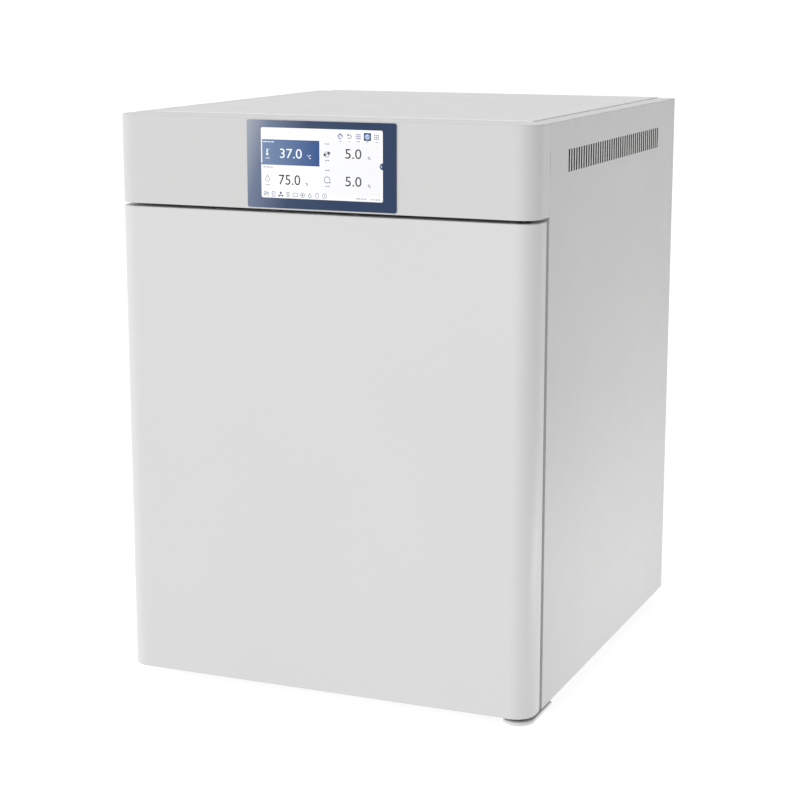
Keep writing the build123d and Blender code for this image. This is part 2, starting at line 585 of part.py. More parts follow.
def door_gasket():
    """Magnetic rubber gasket on the door's inner face."""
    half = GASKET_OUT_HALF_W
    y0, y1 = Y_DOOR_BACK, Y_FRAME - 0.3
    ring = ring_gasket(half, GASKET_Z0, GASKET_Z1, y0, y1, GASKET_W, 16)
    groove_y = (y0 + 3.2, y0 + 5.2)
    groove = ring_gasket(half + 1, GASKET_Z0 - 1, GASKET_Z1 + 1, *groove_y, 3, 17)
    return ring - groove


def door_bushes():
    """Nylon bushes in the door's bottom and top edges."""
    bushes = []
    for z, up in ((DOOR_BOTTOM_Z, 1), (DOOR_TOP_Z, -1)):
        z_in = z + up * BUSH_LEN
        z0, z1 = min(z, z_in), max(z, z_in)
        bush = rod_z(HINGE_X, HINGE_Y, z0, z1, BUSH_R)
        bushes.append(bush - rod_z(HINGE_X, HINGE_Y, z0 - 1, z1 + 1, PIN_R + RUNNING))
    return group(*bushes)


# ---------------------------------------------------------------- outer door hinges
def hinge_plate(z0, nose_r):
    """Flat hinge plate with a round end about the hinge axis."""
    plate = block(HINGE_X - nose_r, HINGE_X + nose_r, HINGE_Y, BRACKET_BACK_Y, z0, z0 + PLATE_T)
    plate += rod_z(HINGE_X, HINGE_Y, z0, z0 + PLATE_T, nose_r)
    return plate - rod_z(HINGE_X, HINGE_Y, z0 - 1, z0 + PLATE_T + 1, PIN_R)


def lower_hinge_bracket():
    """Plate under the casing that carries the door's bottom pin."""
    plate = hinge_plate(LOWER_PLATE_Z, HINGE_INSET - 0.2)
    return chamfer(plate.edges().group_by(Axis.Z)[0], 0.4)


def lower_hinge_shim():
    """Spacer between the casing's underside and the lower bracket."""
    x0, x1 = HINGE_X - HINGE_INSET + 2, HINGE_X + HINGE_INSET - 2
    return block(x0, x1, Y_BODY + 1.5, BRACKET_BACK_Y - 1.5, FOOT_HEIGHT - SHIM_T, FOOT_HEIGHT)


def upper_hinge_bracket():
    """Narrower plate on the deck, inside the control fascia, that carries the door's top pin."""
    return hinge_plate(Z_DECK, UPPER_NOSE_R)


def door_hinge_pins():
    """Steel pins fixed in the lower and upper brackets."""
    reach = BUSH_LEN - 2
    lower = rod_z(HINGE_X, HINGE_Y, LOWER_PLATE_Z, DOOR_BOTTOM_Z + reach, PIN_R)
    upper = rod_z(HINGE_X, HINGE_Y, DOOR_TOP_Z - reach, Z_DECK + PLATE_T, PIN_R)
    lower = chamfer(lower.edges().group_by(Axis.Z)[-1], 0.8)
    upper = chamfer(upper.edges().group_by(Axis.Z)[0], 0.8)
    return group(lower, upper)


def hinge_washer():
    """Nylon thrust washer that carries the door on the lower bracket."""
    z0, z1 = LOWER_PLATE_Z + PLATE_T, DOOR_BOTTOM_Z - 0.2
    washer = rod_z(HINGE_X, HINGE_Y, z0, z1, 9)
    return washer - rod_z(HINGE_X, HINGE_Y, z0 - 1, z1 + 1, PIN_R + RUNNING)


# ---------------------------------------------------------------- inner door
def inner_door_glass():
    """Toughened glass pane, drilled for its hinges and knob."""
    pane = rounded_opening(GLASS_HALF_W, GLASS_Z0, GLASS_Z1, Y_GLASS, Y_GLASS + GLASS_T, 10)
    pane = chamfer(pane.edges().group_by(Axis.Y)[0], 0.6)
    holes = [rod_y(160, z, Y_GLASS - 1, Y_GLASS + 6, 2.6) for z in INNER_HINGE_ZS]
    holes.append(rod_y(KNOB_X, KNOB_Z, Y_GLASS - 1, Y_GLASS + 6, 3.1))
    return pane - holes


def inner_hinge_leaves():
    """Two cranked leaves screwed to the glass, each with a knuckle round its pin."""
    leaves = []
    for z in INNER_HINGE_ZS:
        z0, z1 = z - 12, z + 12
        pad = block(146, 174, Y_GLASS - 3, Y_GLASS, z0, z1)
        leg = block(170, 174, INNER_PIN_Y - 1, Y_GLASS - 0.01, z0, z1)
        arm = block(170, INNER_PIN_X, INNER_PIN_Y - 2, INNER_PIN_Y + 2, z0, z1)
        knuckle = rod_z(INNER_PIN_X, INNER_PIN_Y, z0, z1, KNUCKLE_R)
        leaf = pad + leg + arm + knuckle
        leaf += rod_y(160, z, Y_GLASS - 1, Y_GLASS + GLASS_T, 2.5)
        leaf += rod_y(160, z, Y_GLASS - 4.5, Y_GLASS - 2.9, 4.5)
        leaves.append(leaf - rod_z(INNER_PIN_X, INNER_PIN_Y, z0 - 1, z1 + 1, INNER_PIN_R + RUNNING))
    return group(*leaves)


def inner_hinge_brackets():
    """Two brackets on the front frame, each with an ear above and below the leaf's knuckle."""
    brackets = []
    for z in INNER_HINGE_ZS:
        foot_plate = block(INNER_PIN_X - 3, INNER_PIN_X + 9, Y_FRAME - 2, Y_FRAME, z - 20, z + 20)
        foot_plate -= block(INNER_PIN_X - 4, INNER_PIN_X + 4.6, Y_FRAME - 3, Y_FRAME + 1, z - 12.4, z + 12.4)
        for side in (-1, 1):
            low, high = sorted((z + side * 12.4, z + side * 20))
            foot_plate += rod_z(INNER_PIN_X, INNER_PIN_Y, low, high, KNUCKLE_R)
            foot_plate += block(INNER_PIN_X - 3, INNER_PIN_X + 3, INNER_PIN_Y, Y_FRAME - 1, low, high)
        brackets.append(foot_plate - rod_z(INNER_PIN_X, INNER_PIN_Y, z - 21, z + 21, INNER_PIN_R))
    return group(*brackets)


def inner_hinge_pins():
    """Pins pressed into the inner hinge brackets."""
    return group(*[rod_z(INNER_PIN_X, INNER_PIN_Y, z - 20, z + 20, INNER_PIN_R) for z in INNER_HINGE_ZS])


def inner_door_knob():
    """Pull knob on the glass, with its fixing nut behind."""
    front = Y_GLASS - 17
    knob = rod_y(KNOB_X, KNOB_Z, front, Y_GLASS - 9, 12)
    knob = fillet(knob.edges(), 2.5)
    neck = rod_y(KNOB_X, KNOB_Z, Y_GLASS - 9.5, Y_GLASS, 6)
    stem = rod_y(KNOB_X, KNOB_Z, Y_GLASS - 1, Y_GLASS + GLASS_T + 0.01, 3)
    nut = rod_y(KNOB_X, KNOB_Z, Y_GLASS + GLASS_T, Y_GLASS + GLASS_T + 4, 6)
    return knob + neck + stem + nut


def inner_catch():
    """Magnet blocks on the frame's recess that hold the glass door shut."""
    x0, x1 = -RECESS_HALF_W, -RECESS_HALF_W + 2.6
    return group(*[block(x0, x1, Y_GLASS - 4, Y_GLASS + 4, z - 14, z + 14) for z in (200.0, 320.0)])


# ---------------------------------------------------------------- control compartment
def display_bezel():
    """Coloured cover glass frame round the screen, a little proud of the fascia."""
    y0, y1 = Y_DOOR - BEZEL_PROUD, Y_DOOR
    width, height = BEZEL_X1 - BEZEL_X0, BEZEL_Z1 - BEZEL_Z0
    centre = Pos((BEZEL_X0 + BEZEL_X1) / 2, (y0 + y1) / 2, (BEZEL_Z0 + BEZEL_Z1) / 2)
    outline = RectangleRounded(width, height, 2.0)
    plate = centre * Rot(90, 0, 0) * extrude(outline, amount=(y1 - y0) / 2, both=True)
    return plate - block(SCREEN_X0, SCREEN_X1, y0 - 1, y1 + 1, SCREEN_Z0, SCREEN_Z1)


def display_screen():
    """Touch screen module that fills the bezel's window."""
    gap = 0.1
    glass = block(
        SCREEN_X0 + gap, SCREEN_X1 - gap, Y_DOOR - 0.6, Y_DOOR + 3.0, SCREEN_Z0 + gap, SCREEN_Z1 - gap
    )
    return glass + block(SCREEN_X0 - 2, SCREEN_X1 + 2, Y_DOOR, Y_DOOR + 10, SCREEN_Z0 - 2, SCREEN_Z1 + 2)


def display_board():
    """Circuit board behind the screen, with its connectors."""
    y0 = Y_DOOR + 10
    board = block(SCREEN_X0 - 5, SCREEN_X1 + 5, y0, y0 + 1.6, SCREEN_Z0 - 4, SCREEN_Z1 - 3)
    board += block(-30, 10, y0 + 1.5, y0 + 8, SCREEN_Z0 + 8, SCREEN_Z0 + 16)
    return board + block(25, 45, y0 + 1.5, y0 + 6, SCREEN_Z0 + 20, SCREEN_Z0 + 40)


def main_board():
    """Control circuit board on standoffs, with relays, capacitors and terminal strips."""
    x0, x1, y0, y1, z0 = -170.0, 30.0, -130.0, 10.0, Z_DECK + 8
    board = block(x0, x1, y0, y1, z0, z0 + 1.6)
    for x in (x0 + 8, x1 - 8):
        for y in (y0 + 8, y1 - 8):
            board += rod_z(x, y, Z_DECK, z0 + 0.1, 3)
    top = z0 + 1.5
    for i in range(4):
        board += block(x0 + 20 + i * 28, x0 + 40 + i * 28, y0 + 20, y0 + 34, top, top + 17)
    for i in range(3):
        board += rod_z(x0 + 30 + i * 24, y0 + 70, top, top + 24, 8)
    for y in (y0 + 5, y1 - 13):
        board += block(x0 + 30, x1 - 30, y, y + 8, top, top + 10)
    return board + block(x1 - 60, x1 - 30, y0 + 60, y0 + 90, top, top + 3)


def power_supply():
    """Enclosed power supply with a slotted lid."""
    x0, x1, y0, y1, z0 = 60.0, 180.0, -110.0, 20.0, Z_DECK
    case = block(x0, x1, y0, y1, z0, z0 + 42)
    case = fillet(case.edges().filter_by(Axis.Z), 3)
    slot_xs = [x0 + 12 + i * 12 for i in range(9)]
    case = case - [block(x, x + 4, y0 + 20, y1 - 20, z0 + 40.5, z0 + 43) for x in slot_xs]
    return case + block(x0 + 10, x1 - 10, y1 - 0.1, y1 + 12, z0 + 4, z0 + 16)


def gas_valves():
    """Solenoid valve for each gas, standing on the deck behind its inlet."""
    valves = []
    for x in GAS_XS:
        body = block(x - 11, x + 11, VALVE_Y - 32, VALVE_Y + 8, Z_DECK, Z_DECK + 22)
        coil = block(x - 13, x + 13, VALVE_Y - 30, VALVE_Y - 2, Z_DECK + 21.9, Z_DECK + 56)
        stub = rod_y(x, GAS_Z, VALVE_Y - 3, VALVE_Y + 22, 5)
        riser = rod_z(x, VALVE_Y + 4, Z_DECK + 21, GAS_Z + 4.9, 3.9)
        valve = body + coil + stub + riser
        valves.append(valve - rod_y(x, GAS_Z, VALVE_Y + 12, VALVE_Y + 23, TUBE_BORE_R))
    return group(*valves)


def gas_tubing():
    """Straight tubes from inlet to valve, and from valve down into the chamber."""
    tubes = []
    for x in GAS_XS:
        y0, y1 = VALVE_Y + 12.2, Y_REAR - 16
        tubes.append(rod_y(x, GAS_Z, y0, y1, 3.0) - rod_y(x, GAS_Z, y0 - 1, y1 + 1, 2.0))
        z0, z1 = CHAMBER_TOP_Z - 4, Z_DECK
        tubes.append(rod_z(x, TUBE_Y, z0, z1, 3.0) - rod_z(x, TUBE_Y, z0 - 1, z1 + 1, 2.0))
    return group(*tubes)


def gas_inlets():
    """Push-in bulkhead connectors for 6 mm gas tube, one for each gas."""
    inlets = []
    for x in GAS_XS:
        body = rod_y(x, GAS_Z, Y_REAR - 16, Y_REAR + 12, 7.0)
        hexagon = Pos(x, Y_REAR, GAS_Z) * Rot(-90, 0, 0) * extrude(RegularPolygon(10.5, 6), amount=6)
        nut = Pos(x, Y_REAR - CASE_T - 5, GAS_Z) * Rot(-90, 0, 0) * extrude(RegularPolygon(10.5, 6), amount=5)
        collar = rod_y(x, GAS_Z, Y_REAR + 12, Y_REAR + REAR_STANDOFF, 5.6)
        collar = fillet(collar.edges().group_by(Axis.Y)[-1], 0.8)
        inlet = body + hexagon + nut + collar
        inlet -= rod_y(x, GAS_Z, Y_REAR - 2, Y_REAR + REAR_STANDOFF + 1, TUBE_BORE_R)
        inlets.append(inlet - rod_y(x, GAS_Z, Y_REAR - 20, Y_REAR - 1.9, 1.8))
    return group(*inlets)


def power_inlet():
    """Mains inlet socket and switch housing in one snap-in frame, with three contact blades."""
    flange = block(INLET_X - 48, INLET_X + 21, Y_REAR, Y_REAR + 2.5, INLET_Z - 17, INLET_Z + 17)
    flange = fillet(flange.edges().filter_by(Axis.Y), 3)
    flange = chamfer(flange.edges().group_by(Axis.Y)[-1], 0.8)
    body = block(INLET_X - 44, INLET_X + 17, Y_REAR - 24, Y_REAR + 0.1, INLET_Z - 13.5, INLET_Z + 13.5)
    frame = flange + body
    socket = block(INLET_X - 12.5, INLET_X + 12.5, Y_REAR - 17, Y_REAR + 4, INLET_Z - 8.5, INLET_Z + 8.5)
    socket = chamfer(socket.edges().filter_by(Axis.Y).group_by(Axis.Z)[-1], 4.5)
    switch_y = (Y_REAR - 12, Y_REAR + 4)
    frame -= socket
    frame -= block(SWITCH_X - 6.5, SWITCH_X + 6.5, *switch_y, INLET_Z - 11, INLET_Z + 11)
    frame -= rod_x(SWITCH_Y, INLET_Z, SWITCH_X - 8.6, SWITCH_X + 8.6, ROCKER_PIN_R + RUNNING)
    for dx, dz in ((-7, -3.5), (7, -3.5), (0, 3.5)):
        x, z = INLET_X + dx, INLET_Z + dz
        frame += block(x - 1, x + 1, Y_REAR - 17.5, Y_REAR - 2, z - 2, z + 2)
    return frame


def power_switch_rocker():
    """Rocker on its cross pin, tilted to its off side."""
    face = Polyline((-4, -10), (4.6, -10), (3.4, 0), (4.6, 10), (-4, 10), (-5.5, 0), close=True)
    rocker = extrude(Plane.YZ * make_face(face), amount=6.2, both=True)
    rocker = rocker + rod_x(0, 0, -8.2, 8.2, ROCKER_PIN_R)
    return Pos(SWITCH_X, SWITCH_Y, INLET_Z) * Rot(SWITCH_TILT, 0, 0) * rocker


def cooling_fan_frame():
    """Square frame of the compartment fan, with four struts to its hub."""
    half, y1 = FAN_SIZE / 2, Y_REAR - CASE_T
    y0 = y1 - FAN_DEPTH
    frame = block(FAN_X - half, FAN_X + half, y0, y1, FAN_Z - half, FAN_Z + half)
    frame = fillet(frame.edges().filter_by(Axis.Y), 4)
    frame -= rod_y(FAN_X, FAN_Z, y0 - 1, y1 + 1, FAN_BORE_R)
    frame += rod_y(FAN_X, FAN_Z, y0, y0 + 3, 17)
    for angle in (45, 135):
        strut = Pos(FAN_X, y0 + 1.5, FAN_Z) * Rot(0, angle, 0) * Box(2 * FAN_BORE_R + 2, 3, 4)
        frame += strut
    frame -= rod_y(FAN_X, FAN_Z, y0 - 1, y0 + 4, 2 + RUNNING)
    holes = [
        rod_y(FAN_X + sx * 35.75, FAN_Z + sz * 35.75, y0 - 1, y1 + 1, 2.2) for sx in (-1, 1) for sz in (-1, 1)
    ]
    return frame - holes


def cooling_fan_rotor():
    """Hub and seven pitched blades of the compartment fan."""
    y1 = Y_REAR - CASE_T - 1
    y0 = y1 - FAN_DEPTH + 6
    hub = rod_y(FAN_X, FAN_Z, y0, y1, 16)
    hub = fillet(hub.edges().group_by(Axis.Y)[-1], 2)
    blade = Pos(26, 0, 0) * Rot(38, 0, 0) * Box(22, 24, 1.4)
    blade = blade & (Cylinder(FAN_BORE_R - 1.2, 18) - Cylinder(15, 18))
    to_fan = Pos(FAN_X, (y0 + y1) / 2, FAN_Z) * Rot(90, 0, 0)
    rotor = hub + [to_fan * Rot(0, 0, i * 360 / 7) * blade for i in range(7)]
    return rotor + rod_y(FAN_X, FAN_Z, y0 - 4.5, y0 + 1, 2)


def cooling_fan_guard():
    """Wire finger guard over the fan's opening."""
    wire = 1.0
    y = Y_REAR + wire
    turn = Pos(FAN_X, y, FAN_Z) * Rot(90, 0, 0)
    guard = turn * Torus(37, wire)
    guard += [turn * Torus(r, wire) for r in (12, 20.5, 29)]
    for angle in (45, 135):
        guard += Pos(FAN_X, y, FAN_Z) * Rot(0, angle + 90, 0) * Cylinder(wire, 104)
    for sx in (-1, 1):
        for sz in (-1, 1):
            guard += rod_y(FAN_X + sx * 35.75, FAN_Z + sz * 35.75, Y_REAR, Y_REAR + 2 * wire, 3.6)
    return guard


# ---------------------------------------------------------------- fasteners
def countersink(x, y, grow):
    """Conical seat in the top cover, or the screw head that fills it when grow is zero."""
    centre = Pos(x, y, (Z_RIM + HEIGHT) / 2)
    return centre * Cone(COVER_SCREW_R + grow, COVER_HEAD_R + grow, CASE_T)


def cover_screw(x, y):
    """Countersunk screw, flush with the top cover, with a hexagon socket."""
    screw = countersink(x, y, 0) + rod_z(x, y, Z_RIM - 7, Z_RIM + 0.01, COVER_SCREW_R)
    return screw - extrude(Pos(x, y, Z_RIM - 0.5) * RegularPolygon(1.3, 6), amount=3)


def screw_head(x, y, z, towards):
    """Low round head with a hexagon socket, standing on its face along -Z or +Y."""
    head = Pos(0, 0, 0.9) * Cylinder(3.4, 1.8)
    head = fillet(head.edges().group_by(Axis.Z)[-1], 1.0)
    head -= extrude(Pos(0, 0, 0.7) * RegularPolygon(1.4, 6), amount=2)
    turn = {"-Z": Rot(180, 0, 0), "+Y": Rot(-90, 0, 0)}[towards]
    return Pos(x, y, z) * turn * head


def casing_screws():
    """Screws of the top cover, rear panel and lower hinge bracket."""
    heads = [cover_screw(x, COVER_SCREW_Y) for x in COVER_SCREW_XS]
    for z in (40.0, 222.0, 404.0, 586.0):
        heads += [screw_head(s * (HALF_W - 8), Y_REAR, z, "+Y") for s in (-1, 1)]
    for y in (Y_BODY + 9, Y_BODY + 24):
        heads.append(screw_head(HINGE_X, y, LOWER_PLATE_Z, "-Z"))
    return group(*heads)


# ---------------------------------------------------------------- export
NODES = {
    "side_panel_left": lambda: side_panel(-1),
    "side_panel_right": lambda: side_panel(1),
    "base_pan": base_pan,
    "foot_nuts": foot_nuts,
    "rear_panel": rear_panel,
    "top_cover": top_cover,
    "control_fascia": control_fascia,
    "front_frame": front_frame,
    "service_deck": service_deck,
    "chamber_liner": chamber_liner,
    "chamber_heaters": chamber_heaters,
    "insulation_boards": insulation_boards,
    "inner_door_seal": inner_door_seal,
    "shelf_racks": shelf_racks,
    "shelf_lower": lambda: shelf(SHELF_ZS[0]),
    "shelf_middle": lambda: shelf(SHELF_ZS[1]),
    "shelf_upper": lambda: shelf(SHELF_ZS[2]),
    "water_pan": water_pan,
    "air_duct_cover": air_duct_cover,
    "blower_motor": blower_motor,
    "blower_wheel": blower_wheel,
    "chamber_sensors": chamber_sensors,
    "access_port": access_port,
    "port_stopper": port_stopper,
    "door_skin": door_skin,
    "door_liner": door_liner,
    "door_foam": door_foam,
    "door_grip": door_grip,
    "door_gasket": door_gasket,
    "door_bushes": door_bushes,
    "lower_hinge_bracket": lower_hinge_bracket,
    "lower_hinge_shim": lower_hinge_shim,
    "upper_hinge_bracket": upper_hinge_bracket,
    "door_hinge_pins": door_hinge_pins,
    "hinge_washer": hinge_washer,
    "inner_door_glass": inner_door_glass,
    "inner_hinge_leaves": inner_hinge_leaves,
    "inner_hinge_brackets": inner_hinge_brackets,
    "inner_hinge_pins": inner_hinge_pins,
    "inner_door_knob": inner_door_knob,
    "inner_catch": inner_catch,
    "display_bezel": display_bezel,
    "display_screen": display_screen,
    "display_board": display_board,
    "main_board": main_board,
    "power_supply": power_supply,
    "gas_valves": gas_valves,
    "gas_tubing": gas_tubing,
    "gas_inlets": gas_inlets,
    "power_inlet": power_inlet,
    "power_switch_rocker": power_switch_rocker,
    "cooling_fan_frame": cooling_fan_frame,
    "cooling_fan_rotor": cooling_fan_rotor,
    "cooling_fan_guard": cooling_fan_guard,
    "casing_screws": casing_screws,
}


def main():
    os.makedirs("parts", exist_ok=True)
    for name, make in NODES.items():
        export_step(make(), f"parts/{name}.step")
    for place, (x, y) in FEET.items():
        export_step(foot(x, y), f"parts/foot_{place}.step")


main()
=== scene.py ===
"""Looks of the benchtop laboratory incubator: materials, display graphics, light, floor and camera."""

import json
import math

import bmesh
import bpy
from mathutils import Matrix, Vector


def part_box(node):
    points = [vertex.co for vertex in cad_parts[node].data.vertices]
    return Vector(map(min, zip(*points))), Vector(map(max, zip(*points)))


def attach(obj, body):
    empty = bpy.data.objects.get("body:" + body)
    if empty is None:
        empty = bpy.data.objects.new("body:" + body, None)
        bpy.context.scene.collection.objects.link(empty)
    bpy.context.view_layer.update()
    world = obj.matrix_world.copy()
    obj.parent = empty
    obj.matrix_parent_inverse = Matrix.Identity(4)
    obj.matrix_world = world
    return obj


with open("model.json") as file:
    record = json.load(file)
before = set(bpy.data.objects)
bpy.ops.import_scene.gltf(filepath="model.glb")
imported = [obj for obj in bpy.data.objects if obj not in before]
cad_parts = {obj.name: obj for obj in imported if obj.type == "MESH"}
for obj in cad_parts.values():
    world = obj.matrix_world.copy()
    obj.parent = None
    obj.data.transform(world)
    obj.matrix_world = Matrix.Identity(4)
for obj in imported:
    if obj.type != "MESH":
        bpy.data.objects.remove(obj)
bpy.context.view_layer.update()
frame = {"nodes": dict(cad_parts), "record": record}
NODES = frame["nodes"]
MM = 0.001

# Camera: place in metres, turn and downward pitch in degrees, lens and sensor in millimetres
CAMERA_AT = (0.8181, -2.0037, 0.7269)
CAMERA_TURN, CAMERA_PITCH = 22.66, 11.86
CAMERA_LENS, CAMERA_SENSOR = 89.04, 36.0
CAMERA_CLIP = 1000.0

# Floor: half its side and its drop below the feet in metres, its own glow and its albedo
FLOOR_HALF, FLOOR_DROP = 400.0, 0.0003
FLOOR_GLOW, FLOOR_ALBEDO = 0.84, 0.265

# Surround: full strength, strength towards +X and the rear, and what the camera sees of it
SKY_BRIGHT, SKY_DIM_RIGHT, SKY_DIM_REAR = 1.27, 0.0, 0.75
SKY_SEEN = 1.1

# Lamps: place, target, size and power
KEY_AT, KEY_TARGET = (-1.4, -2.8, 1.2), (0.0, 0.0, 0.3)
KEY_SIZE, KEY_POWER = (3.2, 2.2), 6.5
LOW_AT, LOW_TARGET = (0.6, 0.08, 0.04), (0.2, 0.08, 0.04)
LOW_SIZE, LOW_POWER = (0.62, 0.06), 0.72

# Casing paints
CASING_PAINT = (0.666, 0.666, 0.665)
# The side panels' paint is a darker copy of the casing paint: painted shade on the side faces
SIDE_PAINT_SHADED = (0.605, 0.605, 0.603)
FASCIA_TONE = (0.629, 0.629, 0.627)
FRAME_TONE = (0.62, 0.62, 0.615)
PAINT_SPECULAR, PAINT_ROUGHNESS = 0.32, 0.36

# Lid: painted highlight on its rounded edges, which are where it faces up less squarely than this
LID_EDGE_HIGHLIGHT, LID_SQUARENESS = (0.88, 0.88, 0.875), 0.97

# Air slots: painted shade on their walls, which lie between two heights in metres and face aside less
# squarely
SLOT_WALL_SHADE = (0.03, 0.03, 0.032)
VENT_BAND, SLOT_SQUARENESS = (0.547, 0.571), 0.6

# Feet: the rubber pad ends and the plated collar starts at this height
FOOT_PAD_TOP = 7.05 * MM

# Grinding lines on stainless sheet: coarse along the lines, fine across them
ALONG, ACROSS = 4, 900
LINES_LEVEL = (ALONG, ALONG, ACROSS)
LINES_CROSSWAYS = (ALONG, ACROSS, ALONG)
LINES_LENGTHWAYS = (ACROSS, ALONG, ALONG)

# Mains switch rocker: its rest tilt in degrees, its face's distance from the pin in millimetres
# at the waist, and how much that grows with each millimetre up or down
ROCKER_TILT = 8.0
ROCKER_WAIST, ROCKER_DISH = 3.4, 0.12

# Marks on the rocker, in millimetres: height from the pin, and how far they stand proud
MARK_AT, MARK_LIFT = 6.0, 0.05

# Screen: pixel pitch, lit share of a pixel, and brightness of the line between two pixels
PIXEL, PIXEL_LIT, PIXEL_LINE = 0.24 * MM, 0.86, 0.9

# Ink: height of a layer, thickness in layers, and the gap that is closed in a font's outlines
LAYER, INK_DEPTH = 0.03 * MM, 0.9
FONT_WELD = 0.0005

# Lip of the display module that hides the screen's rim
MODULE_LIP = 2.0 * MM


# ---------------------------------------------------------------- node helpers
class Shader:
    """Builds one material's node tree, with every texture in object coordinates."""

    def __init__(self, name):
        self.material = bpy.data.materials.new(name)
        self.material.use_nodes = True
        self.tree = self.material.node_tree
        self.tree.nodes.clear()
        self.output = self.tree.nodes.new("ShaderNodeOutputMaterial")
        self.surface = self.tree.nodes.new("ShaderNodeBsdfPrincipled")
        self.link(self.surface.outputs[0], self.output.inputs["Surface"])
        self.coords = self.tree.nodes.new("ShaderNodeTexCoord").outputs["Object"]

    def link(self, source, target):
        self.tree.links.new(source, target)

    def set(self, **values):
        for key, value in values.items():
            self.surface.inputs[key.replace("_", " ")].default_value = value

    def stretched(self, scale):
        mapping = self.tree.nodes.new("ShaderNodeMapping")
        mapping.inputs["Scale"].default_value = scale
        self.link(self.coords, mapping.inputs["Vector"])
        return mapping.outputs[0]

    def noise(self, scale, detail=3.0, stretch=(1, 1, 1)):
        node = self.tree.nodes.new("ShaderNodeTexNoise")
        node.inputs["Scale"].default_value = scale
        node.inputs["Detail"].default_value = detail
        self.link(self.stretched(stretch), node.inputs["Vector"])
        return node.outputs["Fac"]

    def cells(self, scale, feature="F1"):
        node = self.tree.nodes.new("ShaderNodeTexVoronoi")
        node.feature = feature
        node.inputs["Scale"].default_value = scale
        self.link(self.coords, node.inputs["Vector"])
        return node.outputs["Distance"]

    def axis(self, letter):
        split = self.tree.nodes.new("ShaderNodeSeparateXYZ")
        self.link(self.coords, split.inputs[0])
        return split.outputs[letter]

    def facing(self, letter):
        """How squarely the surface faces an object axis, 0 to 1."""
        normal = self.tree.nodes.new("ShaderNodeTexCoord").outputs["Normal"]
        split = self.tree.nodes.new("ShaderNodeSeparateXYZ")
        self.link(normal, split.inputs[0])
        return self.math("ABSOLUTE", split.outputs[letter])

    def math(self, operation, first, second=None):
        node = self.tree.nodes.new("ShaderNodeMath")
        node.operation = operation
        for slot, value in enumerate((first, second)):
            if value is None:
                continue
            if isinstance(value, (int, float)):
                node.inputs[slot].default_value = value
            else:
                self.link(value, node.inputs[slot])
        return node.outputs[0]

    def span(self, source, low, high, to_low=0.0, to_high=1.0):
        """The source, moved from the range low to high into the range to_low to to_high."""
        node = self.tree.nodes.new("ShaderNodeMapRange")
        limits = {"From Min": low, "From Max": high, "To Min": to_low, "To Max": to_high}
        for slot, value in limits.items():
            node.inputs[slot].default_value = value
        self.link(source, node.inputs["Value"])
        return node.outputs[0]

    def ramp(self, source, stops):
        node = self.tree.nodes.new("ShaderNodeValToRGB")
        elements = node.color_ramp.elements
        while len(elements) < len(stops):
            elements.new(0.5)
        for element, (place, colour) in zip(elements, stops):
            element.position = place
            element.color = (*colour, 1.0)
        self.link(source, node.inputs["Fac"])
        return node.outputs["Color"]

    def mix(self, factor, first, second):
        node = self.tree.nodes.new("ShaderNodeMix")
        node.data_type = "RGBA"
        self.link(factor, node.inputs["Factor"])
        for slot, value in (("A", first), ("B", second)):
            socket = [s for s in node.inputs if s.name == slot and s.type == "RGBA"][0]
            if isinstance(value, tuple):
                socket.default_value = (*value, 1.0)
            else:
                self.link(value, socket)
        return [s for s in node.outputs if s.type == "RGBA"][0]

    def colour(self, source):
        self.link(source, self.surface.inputs["Base Color"])

    def roughness(self, source):
        self.link(source, self.surface.inputs["Roughness"])

    def bump(self, height, distance, strength=0.3):
        node = self.tree.nodes.new("ShaderNodeBump")
        node.inputs["Distance"].default_value = distance
        node.inputs["Strength"].default_value = strength
        self.link(height, node.inputs["Height"])
        self.link(node.outputs[0], self.surface.inputs["Normal"])


def tint(colour, factor):
    return tuple(min(1.0, channel * factor) for channel in colour)


def varied(shader, colour, scale=9.0, spread=0.02):
    """A colour that drifts slightly across the surface."""
    stops = ((0.3, tint(colour, 1 - spread)), (0.7, tint(colour, 1 + spread)))
    return shader.ramp(shader.noise(scale), stops)


# ---------------------------------------------------------------- materials
def sprayed(shader, colour, roughness=PAINT_ROUGHNESS):
    """Finish of baked powder paint: faint orange peel and slightly uneven gloss."""
    shader.set(Specular_IOR_Level=PAINT_SPECULAR)
    shader.colour(colour)
    shader.roughness(shader.span(shader.noise(38.0), 0.3, 0.7, roughness - 0.03, roughness + 0.04))
    shader.bump(shader.noise(1500.0, 1.0), 0.00003, 0.25)
    return shader.material


def paint_tone(shader, colour):
    return varied(shader, colour, 5.0, 0.008)


def powder_coat(name, colour, roughness=PAINT_ROUGHNESS):
    shader = Shader(name)
    return sprayed(shader, paint_tone(shader, colour), roughness)


def lid_paint_with_edge_highlight():
    """The casing's paint, lighter on the lid's rounded edges as a painted highlight."""
    shader = Shader("lid_paint")
    # The rounded edges take a lighter tone: a painted highlight
    painted_light_mask = shader.math("LESS_THAN", shader.facing("Z"), LID_SQUARENESS)
    return sprayed(shader, shader.mix(painted_light_mask, paint_tone(shader, CASING_PAINT), LID_EDGE_HIGHLIGHT))


def vented_panel():
    """The side panels' paint, a darker copy of the casing paint as painted shade; the walls of the air
    slots are painted near black as painted shade.
    """
    shader = Shader("panel_paint")
    low, high = VENT_BAND
    above = shader.math("GREATER_THAN", shader.axis("Z"), low)
    below = shader.math("LESS_THAN", shader.axis("Z"), high)
    leaning = shader.math("LESS_THAN", shader.facing("X"), SLOT_SQUARENESS)
    painted_light_mask = shader.math("MULTIPLY", shader.math("MULTIPLY", above, below), leaning)
    # The slot walls take a near-black tone: painted shade
    return sprayed(shader, shader.mix(painted_light_mask, paint_tone(shader, SIDE_PAINT_SHADED), SLOT_WALL_SHADE))


